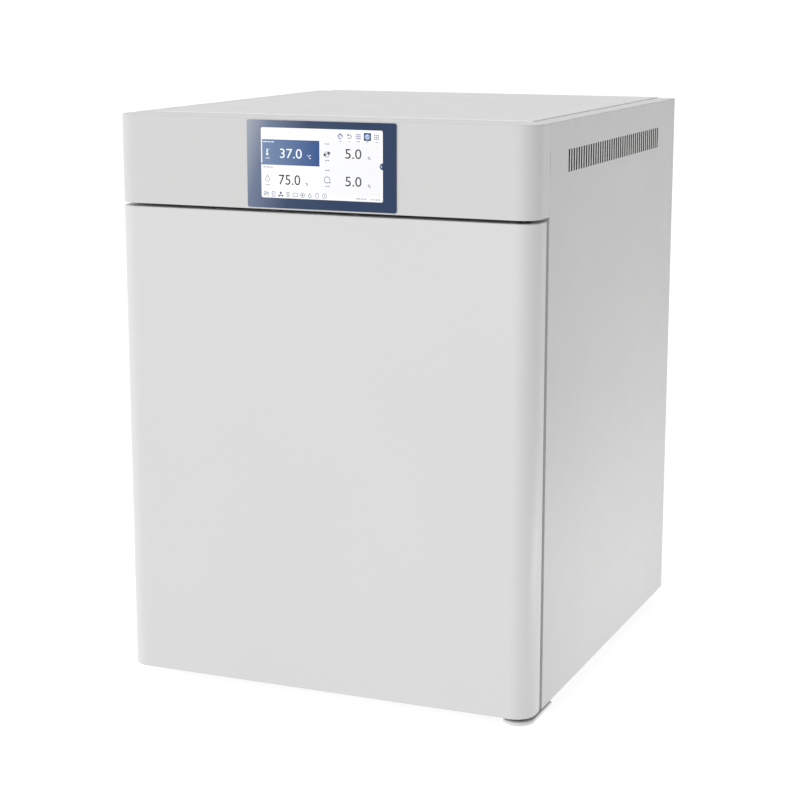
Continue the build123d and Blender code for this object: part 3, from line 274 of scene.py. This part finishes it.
def brushed_steel(name, colour, on_wall_stretch, on_floor_stretch, roughness=0.26):
    """Stainless sheet with fine grinding lines, in one direction on walls and one on floors."""
    shader = Shader(name)
    shader.set(Metallic=1.0)
    level = shader.math("GREATER_THAN", shader.facing("Z"), 0.7)
    on_floors = shader.math("MULTIPLY", level, shader.noise(1.0, 5.0, on_floor_stretch))
    upright = shader.math("SUBTRACT", 1.0, level)
    on_walls = shader.math("MULTIPLY", upright, shader.noise(1.0, 5.0, on_wall_stretch))
    lines = shader.math("ADD", on_floors, on_walls)
    shader.colour(shader.ramp(lines, ((0.25, tint(colour, 0.86)), (0.75, tint(colour, 1.06)))))
    shader.roughness(shader.span(lines, 0.2, 0.8, roughness - 0.07, roughness + 0.1))
    shader.bump(lines, 0.00002, 0.35)
    return shader.material


def bare_metal(name, colour, roughness=0.28):
    """Plated, cast or turned metal with a fine, even grain."""
    shader = Shader(name)
    shader.set(Metallic=1.0)
    shader.colour(varied(shader, colour, 130.0, 0.06))
    shader.roughness(shader.span(shader.noise(420.0), 0.3, 0.7, roughness - 0.06, roughness + 0.08))
    shader.bump(shader.noise(2400.0), 0.00001, 0.3)
    return shader.material


def moulded(name, colour, roughness=0.45, grain=1100.0, spread=0.05):
    """Injection-moulded plastic with a fine spark-eroded grain."""
    shader = Shader(name)
    shader.colour(varied(shader, colour, 60.0, spread))
    shader.roughness(shader.span(shader.noise(300.0), 0.3, 0.7, roughness - 0.05, roughness + 0.07))
    shader.bump(shader.cells(grain), 0.00004, 0.35)
    return shader.material


def rubber(name, colour, roughness=0.62):
    """Soft moulded rubber with a dull bloom."""
    shader = Shader(name)
    shader.set(Sheen_Weight=0.12, Sheen_Roughness=0.4)
    shader.colour(varied(shader, colour, 70.0, 0.09))
    shader.roughness(shader.span(shader.noise(190.0), 0.3, 0.7, roughness - 0.07, roughness + 0.1))
    shader.bump(shader.noise(900.0, 4.0), 0.00006, 0.4)
    return shader.material


def foot_rubber():
    """Black rubber pad below a zinc-plated collar and stud."""
    shader = Shader("foot_pad_and_stud")
    steel = shader.math("GREATER_THAN", shader.axis("Z"), FOOT_PAD_TOP)
    grain = shader.noise(300.0)
    dark = shader.ramp(grain, ((0.3, (0.018, 0.018, 0.02)), (0.7, (0.035, 0.035, 0.037))))
    shader.colour(shader.mix(steel, dark, (0.6, 0.6, 0.58)))
    shader.link(steel, shader.surface.inputs["Metallic"])
    shader.roughness(shader.span(steel, 0.0, 1.0, 0.7, 0.3))
    shader.bump(grain, 0.00008, 0.3)
    return shader.material


def fibre_board(name, colour):
    """Pressed mineral wool and foam, rough and matt."""
    shader = Shader(name)
    weave = shader.noise(420.0, 6.0, (1, 1, 3))
    shader.colour(shader.ramp(weave, ((0.3, tint(colour, 0.82)), (0.7, colour))))
    shader.roughness(shader.span(weave, 0.2, 0.8, 0.8, 0.95))
    shader.bump(weave, 0.0006, 0.7)
    return shader.material


def heater_mat():
    """Orange silicone mat with the heating wire's path showing through."""
    shader = Shader("heater_mat")
    wave = shader.tree.nodes.new("ShaderNodeTexWave")
    wave.inputs["Scale"].default_value = 28.0
    wave.inputs["Distortion"].default_value = 0.6
    shader.link(shader.coords, wave.inputs["Vector"])
    colour = shader.ramp(wave.outputs["Fac"], ((0.6, (0.55, 0.16, 0.05)), (0.9, (0.72, 0.3, 0.13))))
    shader.colour(colour)
    shader.roughness(shader.span(shader.noise(120.0), 0.3, 0.7, 0.45, 0.6))
    shader.bump(wave.outputs["Fac"], 0.0003, 0.4)
    return shader.material


def clear_glass():
    """Toughened glass, faintly green, with a few smudges."""
    shader = Shader("clear_glass")
    shader.set(Transmission_Weight=0.93, IOR=1.5)
    smudge = shader.noise(7.0, 5.0)
    shader.colour(shader.ramp(smudge, ((0.3, (0.9, 0.96, 0.94)), (0.7, (0.94, 0.98, 0.97)))))
    shader.roughness(shader.span(smudge, 0.35, 0.75, 0.0, 0.05))
    return shader.material


def bezel_glass_with_painted_reflection(box):
    """Glossy back-painted navy cover glass with a painted reflection of a soft light: slate blue on the
    left, turning to navy on the right.
    """
    shader = Shader("bezel_glass_with_painted_reflection")
    shader.set(Specular_IOR_Level=0.3)
    across = shader.span(shader.axis("X"), box[0][0], box[1][0])
    down = shader.span(shader.axis("Z"), box[1][2], box[0][2])
    # The lighter slate blue towards the top left is a painted reflection of a soft light
    painted_reflection_slant = shader.math("ADD", across, shader.math("MULTIPLY", down, 0.16))
    stops = (
        (0.0, (0.36, 0.39, 0.46)),
        (0.16, (0.145, 0.187, 0.28)),
        (0.42, (0.03, 0.055, 0.12)),
        (0.8, (0.01, 0.033, 0.095)),
    )
    shader.colour(shader.ramp(painted_reflection_slant, stops))
    shader.roughness(shader.span(shader.noise(90.0), 0.3, 0.7, 0.12, 0.2))
    return shader.material


def circuit_board():
    """Green lacquered board with lighter tracks."""
    shader = Shader("circuit_board")
    tracks = shader.cells(260.0, "DISTANCE_TO_EDGE")
    lacquer = shader.ramp(tracks, ((0.05, (0.03, 0.2, 0.07)), (0.12, (0.015, 0.11, 0.045))))
    shader.colour(lacquer)
    shader.roughness(shader.span(tracks, 0.0, 0.3, 0.25, 0.4))
    shader.bump(tracks, 0.0001, 0.4)
    return shader.material


def pixel_line(shader, side):
    """One where a dark line between two pixels runs, and nought elsewhere."""
    step = shader.math("FRACT", shader.math("DIVIDE", shader.axis(side), PIXEL))
    return shader.math("GREATER_THAN", step, PIXEL_LIT)


def screen_ink(name, first, second, x0, x1, glow):
    """Lit screen colour that runs between two tones from x0 to x1, with the panel's fine pixel grid."""
    shader = Shader(name)
    run = shader.span(shader.axis("X"), x0, x1)
    grid = shader.math("MAXIMUM", pixel_line(shader, "X"), pixel_line(shader, "Z"))
    lit = shader.ramp(run, ((0.0, first), (1.0, second)))
    dimmed = shader.ramp(run, ((0.0, tint(first, PIXEL_LINE)), (1.0, tint(second, PIXEL_LINE))))
    colour = shader.mix(grid, lit, dimmed)
    shader.colour(colour)
    shader.link(colour, shader.surface.inputs["Emission Color"])
    shader.set(Emission_Strength=glow, Specular_IOR_Level=0.25, Roughness=0.3)
    return shader.material


PAINT = powder_coat("casing_paint", CASING_PAINT)
FASCIA_PAINT = powder_coat("fascia_paint", FASCIA_TONE)
PANEL_PAINT = vented_panel()
FRAME_PAINT = powder_coat("frame_paint", FRAME_TONE, 0.42)
STAINLESS = brushed_steel("chamber_stainless", (0.62, 0.62, 0.61), LINES_LEVEL, LINES_CROSSWAYS)
SHELF_STEEL = brushed_steel("shelf_stainless", (0.66, 0.66, 0.65), LINES_LEVEL, LINES_LENGTHWAYS, 0.22)
BRIGHT = bare_metal("bright_steel", (0.66, 0.66, 0.655))
BLACKENED = bare_metal("blackened_steel", (0.05, 0.05, 0.052), 0.4)
ALUMINIUM = bare_metal("bare_aluminium", (0.72, 0.73, 0.74), 0.34)
BRASS = bare_metal("nickel_brass", (0.7, 0.66, 0.55), 0.22)
LINER_PLASTIC = moulded("liner_plastic", (0.72, 0.72, 0.71), 0.38, 800.0, 0.01)
DARK_PLASTIC = moulded("grip_plastic", (0.2, 0.205, 0.22), 0.5)
BLACK_PLASTIC = moulded("black_plastic", (0.025, 0.025, 0.028), 0.42)
NYLON = moulded("nylon", (0.06, 0.06, 0.062), 0.4)
TUBE_BLUE = moulded("gas_tube", (0.05, 0.16, 0.42), 0.28)
GASKET = rubber("gasket_rubber", (0.13, 0.135, 0.14))
SILICONE = rubber("white_silicone", (0.66, 0.66, 0.63), 0.5)
FIBRE = fibre_board("insulation_fibre", (0.75, 0.68, 0.42))

FINISHES = {
    PAINT: ("rear_panel", "door_skin", "lower_hinge_bracket"),
    lid_paint_with_edge_highlight(): ("top_cover",),
    PANEL_PAINT: ("side_panel_left", "side_panel_right"),
    FASCIA_PAINT: ("control_fascia",),
    FRAME_PAINT: ("front_frame",),
    STAINLESS: ("chamber_liner", "air_duct_cover", "water_pan", "shelf_racks"),
    SHELF_STEEL: ("shelf_lower", "shelf_middle", "shelf_upper"),
    BRIGHT: (
        "base_pan", "foot_nuts", "service_deck", "chamber_sensors", "lower_hinge_shim",
        "upper_hinge_bracket", "inner_hinge_leaves", "inner_hinge_brackets", "inner_hinge_pins",
        "cooling_fan_guard", "casing_screws",
    ),
    BLACKENED: ("door_hinge_pins",),
    ALUMINIUM: ("blower_motor", "power_supply"),
    BRASS: ("gas_inlets",),
    LINER_PLASTIC: ("door_liner",),
    DARK_PLASTIC: ("door_grip",),
    BLACK_PLASTIC: (
        "blower_wheel", "access_port", "inner_door_knob", "inner_catch", "gas_valves",
        "power_inlet", "power_switch_rocker", "cooling_fan_frame", "cooling_fan_rotor",
    ),
    NYLON: ("door_bushes", "hinge_washer"),
    TUBE_BLUE: ("gas_tubing",),
    GASKET: ("door_gasket",),
    SILICONE: ("inner_door_seal", "port_stopper"),
    FIBRE: ("insulation_boards", "door_foam"),
    heater_mat(): ("chamber_heaters",),
    clear_glass(): ("inner_door_glass",),
    bezel_glass_with_painted_reflection(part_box("display_bezel")): ("display_bezel",),
    circuit_board(): ("display_board", "main_board"),
    foot_rubber(): ("foot_front_left", "foot_front_right", "foot_rear_left", "foot_rear_right"),
}


def finish(name, material):
    slots = NODES[name].data.materials
    slots.clear()
    slots.append(material)


def finish_nodes():
    for material, names in FINISHES.items():
        for name in names:
            finish(name, material)


# ---------------------------------------------------------------- display graphics
SCREEN_LOW, SCREEN_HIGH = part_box("display_screen")
SCREEN_X0, SCREEN_X1 = SCREEN_LOW[0] + MODULE_LIP, SCREEN_HIGH[0] - MODULE_LIP
SCREEN_Z0, SCREEN_Z1 = SCREEN_LOW[2] + MODULE_LIP, SCREEN_HIGH[2] - MODULE_LIP
SCREEN_W = (SCREEN_X1 - SCREEN_X0) / MM
SCREEN_H = (SCREEN_Z1 - SCREEN_Z0) / MM


def screen_point(x, y, layer):
    """A point of the screen, x millimetres from its left and y down from its top, on a layer of ink."""
    return (SCREEN_X0 + x * MM, SCREEN_LOW[1] - layer * LAYER, SCREEN_Z1 - y * MM)


def plates(name, outlines, place, bottom, top):
    """A mesh of flat plates, one for each convex outline; place turns x, y and a level into a point."""
    verts, faces = [], []
    for outline in outlines:
        start, count = len(verts), len(outline)
        verts += [place(x, y, top) for x, y in outline]
        verts += [place(x, y, bottom) for x, y in outline]
        faces.append(tuple(range(start, start + count)))
        faces.append(tuple(range(start + 2 * count - 1, start + count - 1, -1)))
        for i in range(count):
            j = (i + 1) % count
            faces.append((start + j, start + i, start + count + i, start + count + j))
    mesh = bpy.data.meshes.new(name)
    mesh.from_pydata(verts, [], faces)
    seal(mesh, 0.0)
    return mesh


def ink(name, outlines, material, layer=2):
    """One graphic of the screen, raised to its layer of ink."""
    mesh = plates(name, outlines, screen_point, layer - INK_DEPTH, layer)
    return add_ink(name, mesh, material)


def seal(mesh, gap):
    """Joins corners that are closer than gap, and turns every face outward."""
    work = bmesh.new()
    work.from_mesh(mesh)
    bmesh.ops.remove_doubles(work, verts=work.verts, dist=gap)
    bmesh.ops.recalc_face_normals(work, faces=work.faces)
    work.to_mesh(mesh)
    work.free()


def add_piece(name, mesh, material):
    mesh.materials.append(material)
    piece = bpy.data.objects.new(name, mesh)
    bpy.context.scene.collection.objects.link(piece)
    return piece


def add_ink(name, mesh, material):
    piece = add_piece(name, mesh, material)
    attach(piece, "cabinet")
    return piece


def stroke(points, width, closed=False):
    """Straight bars along a line of points."""
    bars = []
    ends = list(points) + ([points[0]] if closed else [])
    for (x0, y0), (x1, y1) in zip(ends, ends[1:]):
        length = math.hypot(x1 - x0, y1 - y0)
        across_x, across_y = -(y1 - y0) / length * width / 2, (x1 - x0) / length * width / 2
        bars.append([
            (x0 + across_x, y0 + across_y), (x0 - across_x, y0 - across_y),
            (x1 - across_x, y1 - across_y), (x1 + across_x, y1 + across_y),
        ])
    return bars


def arc(x, y, radius, start=0.0, turn=360.0, steps=28):
    """Points along an arc, with steps to a full turn."""
    count = max(3, int(steps * turn / 360))
    angles = [math.radians(start + turn * i / count) for i in range(count + (turn < 360))]
    return [(x + radius * math.cos(a), y + radius * math.sin(a)) for a in angles]


def disc(x, y, radius):
    return [arc(x, y, radius)]


def ring(x, y, radius, width, start=0.0, turn=360.0):
    return stroke(arc(x, y, radius, start, turn), width, turn >= 360)


def panel(x0, y0, x1, y1, radius=0.0):
    """A rectangle with rounded corners."""
    if radius == 0:
        return [[(x0, y0), (x0, y1), (x1, y1), (x1, y0)]]
    outline = []
    corners = ((x1 - radius, y1 - radius, 0), (x0 + radius, y1 - radius, 90),
               (x0 + radius, y0 + radius, 180), (x1 - radius, y0 + radius, 270))
    for cx, cy, start in corners:
        outline += arc(cx, cy, radius, start, 90.0, 24)
    return [outline]


def number(name, text, x0, x1, y0, y1, material, layer=3):
    """Raised figures from the built-in font, stretched to fill a rectangle of the screen."""
    curve = bpy.data.curves.new(name + "_line", "FONT")
    curve.body = text
    curve.resolution_u = 6
    curve.extrude = INK_DEPTH / 2
    holder = bpy.data.objects.new(name + "_line", curve)
    bpy.context.scene.collection.objects.link(holder)
    shape = holder.evaluated_get(bpy.context.evaluated_depsgraph_get())
    mesh = bpy.data.meshes.new_from_object(shape)
    bpy.data.objects.remove(holder)
    seal(mesh, FONT_WELD)
    xs = [v.co.x for v in mesh.vertices]
    ys = [v.co.y for v in mesh.vertices]
    for vert in mesh.vertices:
        across = (vert.co.x - min(xs)) / (max(xs) - min(xs))
        up = (vert.co.y - min(ys)) / (max(ys) - min(ys))
        depth = layer - INK_DEPTH / 2 + vert.co.z
        vert.co = screen_point(x0 + across * (x1 - x0), y1 - up * (y1 - y0), depth)
    seal(mesh, 0.0)
    return add_ink(name, mesh, material)


def tiny_label(x, y, widths, height=0.75):
    """Bars that stand for a line of small print."""
    bars = []
    for width in widths:
        bars += panel(x, y, x + width, y + height)
        x += width + 0.7
    return bars


def drop_outline(x, y, size):
    tip = [(x, y - 1.75 * size)]
    return stroke(tip + arc(x, y, size, -20, 220), 0.5, True)


def placed(outlines, x, y, size=1.0):
    """Outlines drawn about their own middle, moved to x, y and made larger."""
    return [[(x + size * px, y + size * py) for px, py in outline] for outline in outlines]


def mix_inks():
    """The screen's colours, each from its tone on the left to its tone on the right."""
    x0, x1 = SCREEN_X0, SCREEN_X1
    half_way = x0 + 0.48 * (x1 - x0)
    tones = (
        ("white", "ink_paper", (0.93, 0.94, 0.96), (0.92, 0.92, 0.92), x1, 0.12),
        ("blue", "ink_blue_box", (0.16, 0.232, 0.37), (0.026, 0.075, 0.225), half_way, 0.15),
        ("bright", "ink_white", (0.85, 0.88, 0.92), (0.85, 0.88, 0.92), x1, 0.15),
        ("dark", "ink_dark_figures", (0.006, 0.006, 0.008), (0.02, 0.018, 0.016), x1, 0.0),
        ("grey", "ink_grey_figures", (0.03, 0.03, 0.034), (0.05, 0.05, 0.05), x1, 0.0),
        ("soft", "ink_soft_symbols", (0.1, 0.13, 0.22), (0.12, 0.15, 0.22), x1, 0.0),
        ("slate", "ink_slate", (0.03, 0.05, 0.14), (0.04, 0.065, 0.15), x1, 0.05),
        ("pale", "ink_pale_panel", (0.86, 0.87, 0.9), (0.84, 0.84, 0.85), x1, 0.1),
        ("halo", "ink_halo", (0.72, 0.74, 0.9), (0.78, 0.79, 0.9), x1, 0.1),
        ("sky", "ink_sky_blue", (0.23, 0.33, 0.6), (0.23, 0.33, 0.6), x1, 0.1),
    )
    return {
        key: screen_ink(name, first, second, x0, far, glow)
        for key, name, first, second, far, glow in tones
    }


def draw_panels(w, h, inks):
    """The white page, the pale right half and the blue box behind the main reading."""
    ink("screen_paper", panel(0.15, 0.15, w - 0.15, h - 0.15, 1.7), inks["white"], 1)
    ink("screen_right_panel", panel(0.49 * w, 0.17 * h, 0.985 * w, 0.92 * h, 0.8), inks["pale"], 1.5)
    ink("screen_highlight", panel(0.011 * w, 0.17 * h, 0.486 * w, 0.53 * h), inks["blue"])


def draw_readings(w, h, inks):
    """Four readings and their units, each fitted to its share of the screen's width and height."""
    readings = [
        ("screen_temperature", "37.0", 0.159, 0.341, 0.296, 0.429, "bright"),
        ("screen_temperature_unit", "°C", 0.385, 0.417, 0.372, 0.427, "bright"),
        ("screen_humidity", "75.0", 0.148, 0.326, 0.664, 0.805, "dark"),
        ("screen_humidity_unit", "%", 0.369, 0.392, 0.763, 0.806, "grey"),
    ]
    for name, top in (("upper", 0.269), ("lower", 0.655)):
        readings += [
            (f"screen_gas_{name}", "5.0", 0.696, 0.827, top, top + 0.137, "grey"),
            (f"screen_gas_{name}_unit", "%", 0.877, 0.9, top + 0.1, top + 0.14, "grey"),
        ]
    for name, text, x0, x1, y0, y1, key in readings:
        number(name, text, x0 * w, x1 * w, y0 * h, y1 * h, inks[key])


def draw_reading_symbols(h, inks):
    """Thermometer, drop, molecule and gas ring, each beside its reading."""
    thermometer = stroke([(6.9, 0.305 * h), (6.9, 0.37 * h)], 1.3) + disc(6.9, 0.378 * h, 1.35)
    thermometer += stroke([(8.4, 0.31 * h), (9.6, 0.31 * h)], 0.5)
    ink("symbol_thermometer", thermometer, inks["bright"], 3)
    ink("symbol_drop", drop_outline(7.0, 0.735 * h, 2.2), inks["soft"])
    y = 0.35 * h
    molecule = disc(69.0, y + 1.0, 1.3) + disc(73.6, y - 0.9, 1.4) + ring(71.3, y + 0.4, 2.4, 0.6)
    molecule += stroke([(69.0, y + 1.0), (73.6, y - 0.9)], 0.7)
    ink("symbol_molecule", molecule, inks["soft"])
    gas_ring = ring(71.4, 0.712 * h, 3.0, 0.6, 60, 320) + disc(74.2, 0.75 * h, 0.8)
    ink("symbol_ring", gas_ring, inks["soft"])


def draw_small_print(w, h, inks):
    """Blank dashes for every caption, and the clock at the bottom right."""
    labels = tiny_label(2.6, 0.535 * h + 1.6, (2.6, 4.0, 2.2)) + tiny_label(5.0, 0.81 * h, (1.6, 2.0))
    for top in (0.205, 0.435, 0.575, 0.8):
        labels += tiny_label(69.5, top * h, (1.8, 1.9))
    ink("small_print", labels, inks["soft"])
    lit = tiny_label(2.4, 0.2 * h, (4.4, 3.0, 3.2)) + tiny_label(5.0, 0.43 * h, (1.2, 2.6))
    ink("small_print_lit", lit, inks["bright"], 3)
    number("screen_clock", "10:24", 0.9 * w, 0.975 * w, 0.95 * h, 0.974 * h, inks["soft"])
    ink("clock_dashes", tiny_label(0.785 * w, 0.955 * h, (4.2, 2.4, 2.4)), inks["soft"])


def draw_tabs(w, h, inks):
    """The half-round tab at the right edge, and the small arrow at the left."""
    ink("side_tab", [arc(w - 0.15, 0.5 * h, 3.3, 90, 180)], inks["slate"])
    arrow = stroke([(w - 1.2, 0.485 * h), (w - 2.2, 0.5 * h), (w - 1.2, 0.515 * h)], 0.4)
    ink("side_tab_arrow", arrow, inks["bright"], 3)
    left_arrow = stroke([(1.7, 0.5 * h), (0.6, 0.515 * h), (1.7, 0.53 * h)], 0.6)
    ink("left_tab", left_arrow, inks["soft"], 3)


def home_symbol():
    roof = stroke([(-2.6, 0.3), (0.0, -2.3), (2.6, 0.3)], 0.8)
    return roof + stroke([(-1.6, 0.3), (-1.6, 2.1), (0.9, 2.1)], 0.6)


def back_symbol():
    hook = stroke([(-1.0, -1.3), (0.7, -1.3)], 0.6) + ring(0.7, 0.2, 1.5, 0.6, -90, 180)
    return hook + stroke([(0.7, 1.7), (-1.8, 1.7)], 0.6) + [[(-2.6, -1.3), (-1.0, 0.0), (-1.0, -2.6)]]


def list_symbol():
    lines = []
    for y in (-1.8, 0.0, 1.8):
        lines += stroke([(-2.5, y), (2.5, y)], 0.55)
    return lines


def grid_symbol():
    dots = []
    for x in (-1.8, 0.0, 1.8):
        for y in (-1.8, 0.0, 1.8):
            dots += panel(x - 0.55, y - 0.55, x + 0.55, y + 0.55)
    return dots


def draw_top_row(w, h, inks):
    """Home, back, list, the selected page and the page grid, each with a small label."""
    y, pitch = 0.095 * h, 0.073 * w
    home_x, back_x, list_x, page_x, grid_x = (0.657 * w + pitch * i for i in range(5))
    discs = disc(home_x, y, 3.6) + disc(list_x, y, 3.6)
    rings = ring(back_x, y, 3.5, 0.3) + ring(grid_x, y, 3.5, 0.3)
    ink("top_row_discs", discs + rings, inks["halo"])
    ink("symbol_home", placed(home_symbol(), home_x, y), inks["slate"], 3)
    ink("symbol_back", placed(back_symbol(), back_x, y), inks["slate"], 3)
    ink("symbol_list", placed(list_symbol(), list_x, y), inks["soft"], 3)
    ink("selected_page", panel(page_x - 3.8, y - 3.8, page_x + 3.8, y + 3.8, 0.6), inks["slate"])
    ink("selected_page_disc", disc(page_x, y, 2.9), inks["sky"], 3)
    mark = ring(page_x, y, 1.6, 0.5, 30, 300) + stroke([(page_x, y), (page_x, y - 1.1)], 0.4)
    ink("selected_page_mark", mark, inks["bright"], 4)
    ink("symbol_grid", placed(grid_symbol(), grid_x, y), inks["soft"], 3)
    labels = []
    label_widths = ((home_x, 3.0), (back_x, 1.6), (list_x, 3.2), (page_x, 2.4), (grid_x, 2.6))
    for x, width in label_widths:
        labels += tiny_label(x - width / 2, y + 4.4, (width,), 0.6)
    ink("top_row_labels", labels, inks["soft"])


def status_symbols():
    """Users, page, network, log, switch, target, alarm, lamp and clock."""
    users = ring(-0.9, -0.9, 0.9, 0.4) + ring(1.2, -0.6, 0.7, 0.4)
    users += stroke([(-2.4, 1.6), (-1.3, 0.4), (0.0, 1.6)], 0.45)
    users += stroke([(1.2, 0.4), (2.2, 1.6)], 0.45)
    page = stroke(panel(-1.2, -1.7, 1.2, 1.7)[0], 0.4, True) + stroke([(-0.6, 0.0), (0.6, 0.0)], 0.4)
    network = disc(0.0, -1.1, 0.9) + panel(-2.1, 0.4, -0.6, 1.7) + panel(0.6, 0.4, 2.1, 1.7)
    network += stroke([(0.0, -0.8), (0.0, 0.9)], 0.4) + stroke([(-0.6, 0.9), (0.6, 0.9)], 0.4)
    log = []
    for y in (-1.5, -0.5, 0.5, 1.5):
        log += stroke([(-1.5, y), (1.5, y)], 0.4)
    switch = ring(-0.9, 0.0, 1.3, 0.4, 90, 180) + ring(0.9, 0.0, 1.3, 0.4, -90, 180)
    switch += stroke([(-0.9, -1.3), (0.9, -1.3)], 0.4) + stroke([(-0.9, 1.3), (0.9, 1.3)], 0.4)
    target = ring(0.0, 0.0, 1.7, 0.4) + disc(0.0, 0.0, 0.7)
    alarm = drop_outline(0.0, 0.4, 1.1)
    lamp = ring(0.0, -0.4, 1.4, 0.45, 130, 280) + stroke([(-0.6, 1.6), (0.6, 1.6)], 0.6)
    clock = ring(0.0, 0.0, 1.7, 0.4) + stroke([(0.0, -1.0), (0.0, 0.0), (0.8, 0.5)], 0.4)
    return (users, page, network, log, switch, target, alarm, lamp, clock)


def draw_bottom_row(w, h, inks):
    outlines = []
    for i, symbol in enumerate(status_symbols()):
        outlines += placed(symbol, w * (0.042 + 0.0603 * i), 0.943 * h, 1.3)
    ink("status_symbols", outlines, inks["soft"])


def draw_screen():
    """The screen's layout: one large highlighted reading, three more, and rows of symbols."""
    w, h = SCREEN_W, SCREEN_H
    backing = screen_ink(
        "screen_backing", (0.09, 0.12, 0.19), (0.012, 0.035, 0.095), SCREEN_X0, SCREEN_X1, 0.0
    )
    finish("display_screen", backing)
    inks = mix_inks()
    draw_panels(w, h, inks)
    draw_readings(w, h, inks)
    draw_reading_symbols(h, inks)
    draw_small_print(w, h, inks)
    draw_top_row(w, h, inks)
    draw_bottom_row(w, h, inks)
    draw_tabs(w, h, inks)


# ---------------------------------------------------------------- switch marks
def rocker_spot(x, z, lift):
    """A point raised by lift from the rocker's dished face, in millimetres from its pin."""
    joints = frame["record"]["behaviour"]["joints"]
    joint = [j for j in joints if j["name"] == "power_switch_rock"][0]
    spot = Vector((x, ROCKER_WAIST + abs(z) * ROCKER_DISH + lift, z)) * MM
    spot.rotate(Matrix.Rotation(math.radians(ROCKER_TILT), 3, "X"))
    return tuple(Vector(joint["pos_m"]) + spot)


def mark_switch():
    """Raised line and ring on the rocker's two halves, for on and off."""
    paint = moulded("switch_marks", (0.75, 0.75, 0.73), 0.5)
    marks = (
        ("switch_mark_on", MARK_AT, stroke([(0.0, -1.6), (0.0, 1.6)], 0.6)),
        ("switch_mark_off", -MARK_AT, ring(0.0, 0.0, 1.5, 0.5)),
    )
    for name, height, outlines in marks:
        mesh = plates(name, placed(outlines, 0.0, height), rocker_spot, -MARK_LIFT, MARK_LIFT)
        piece = add_piece(name, mesh, paint)
        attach(piece, "power_switch")


# ---------------------------------------------------------------- studio
def add_floor():
    """White acrylic table lit from below, as used for product pictures."""
    half = FLOOR_HALF
    corners = ((-half, -half), (half, -half), (half, half), (-half, half))
    mesh = bpy.data.meshes.new("studio_floor")
    mesh.from_pydata([(x, y, -FLOOR_DROP) for x, y in corners], [], [(0, 1, 2, 3)])
    shader = Shader("studio_floor_acrylic")
    shader.colour(varied(shader, (FLOOR_ALBEDO,) * 3, 0.6, 0.003))
    shader.set(Roughness=0.9, Specular_IOR_Level=0.0, Emission_Color=(1.0, 1.0, 1.0, 1.0))
    shader.set(Emission_Strength=FLOOR_GLOW)
    floor = add_piece("studio_floor", mesh, shader.material)


def add_area_light(name, place, target, size, power):
    light = bpy.data.lights.new(name, "AREA")
    light.shape = "RECTANGLE"
    light.size, light.size_y = size
    light.energy = power
    holder = bpy.data.objects.new(name, light)
    holder.location = place
    holder.rotation_euler = (Vector(target) - Vector(place)).to_track_quat("-Z", "Y").to_euler()
    holder.visible_camera = False
    bpy.context.scene.collection.objects.link(holder)


def add_sky():
    """White surround, dimmer from +X and from the rear, so that the casing's faces differ."""
    world = bpy.data.worlds.new("studio_world")
    world.use_nodes = True
    tree = world.node_tree
    direction = tree.nodes.new("ShaderNodeTexCoord").outputs["Generated"]
    split = tree.nodes.new("ShaderNodeSeparateXYZ")
    tree.links.new(direction, split.inputs[0])
    product = tree.nodes.new("ShaderNodeMath")
    product.operation = "MULTIPLY"
    fades = (("X", 0.85, SKY_BRIGHT, SKY_DIM_RIGHT), ("Y", 0.95, 1.0, SKY_DIM_REAR))
    for slot, (letter, far, near_value, far_value) in enumerate(fades):
        fade = tree.nodes.new("ShaderNodeMapRange")
        values = {"From Min": 0.0, "From Max": far, "To Min": near_value, "To Max": far_value}
        for socket, value in values.items():
            fade.inputs[socket].default_value = value
        tree.links.new(split.outputs[letter], fade.inputs["Value"])
        tree.links.new(fade.outputs[0], product.inputs[slot])
    background = tree.nodes["Background"]
    background.inputs["Color"].default_value = (1.0, 1.0, 1.0, 1.0)
    seen = tree.nodes.new("ShaderNodeMix")
    camera_ray = tree.nodes.new("ShaderNodeLightPath").outputs["Is Camera Ray"]
    tree.links.new(camera_ray, seen.inputs["Factor"])
    tree.links.new(product.outputs[0], seen.inputs["A"])
    seen.inputs["B"].default_value = SKY_SEEN
    tree.links.new(seen.outputs[0], background.inputs["Strength"])
    bpy.context.scene.world = world


def add_studio():
    bpy.context.scene.view_settings.view_transform = "Standard"
    add_sky()
    add_area_light("key_light", KEY_AT, KEY_TARGET, KEY_SIZE, KEY_POWER)
    add_area_light("low_right_light", LOW_AT, LOW_TARGET, LOW_SIZE, LOW_POWER)


def add_camera():
    data = bpy.data.cameras.new("camera")
    data.sensor_width = CAMERA_SENSOR
    data.lens = CAMERA_LENS
    data.clip_end = CAMERA_CLIP
    camera = bpy.data.objects.new("camera", data)
    camera.location = CAMERA_AT
    camera.rotation_euler = (math.radians(90 - CAMERA_PITCH), 0.0, math.radians(CAMERA_TURN))
    bpy.context.scene.collection.objects.link(camera)
    bpy.context.scene.camera = camera


finish_nodes()
draw_screen()
mark_switch()
add_floor()
add_studio()
add_camera()
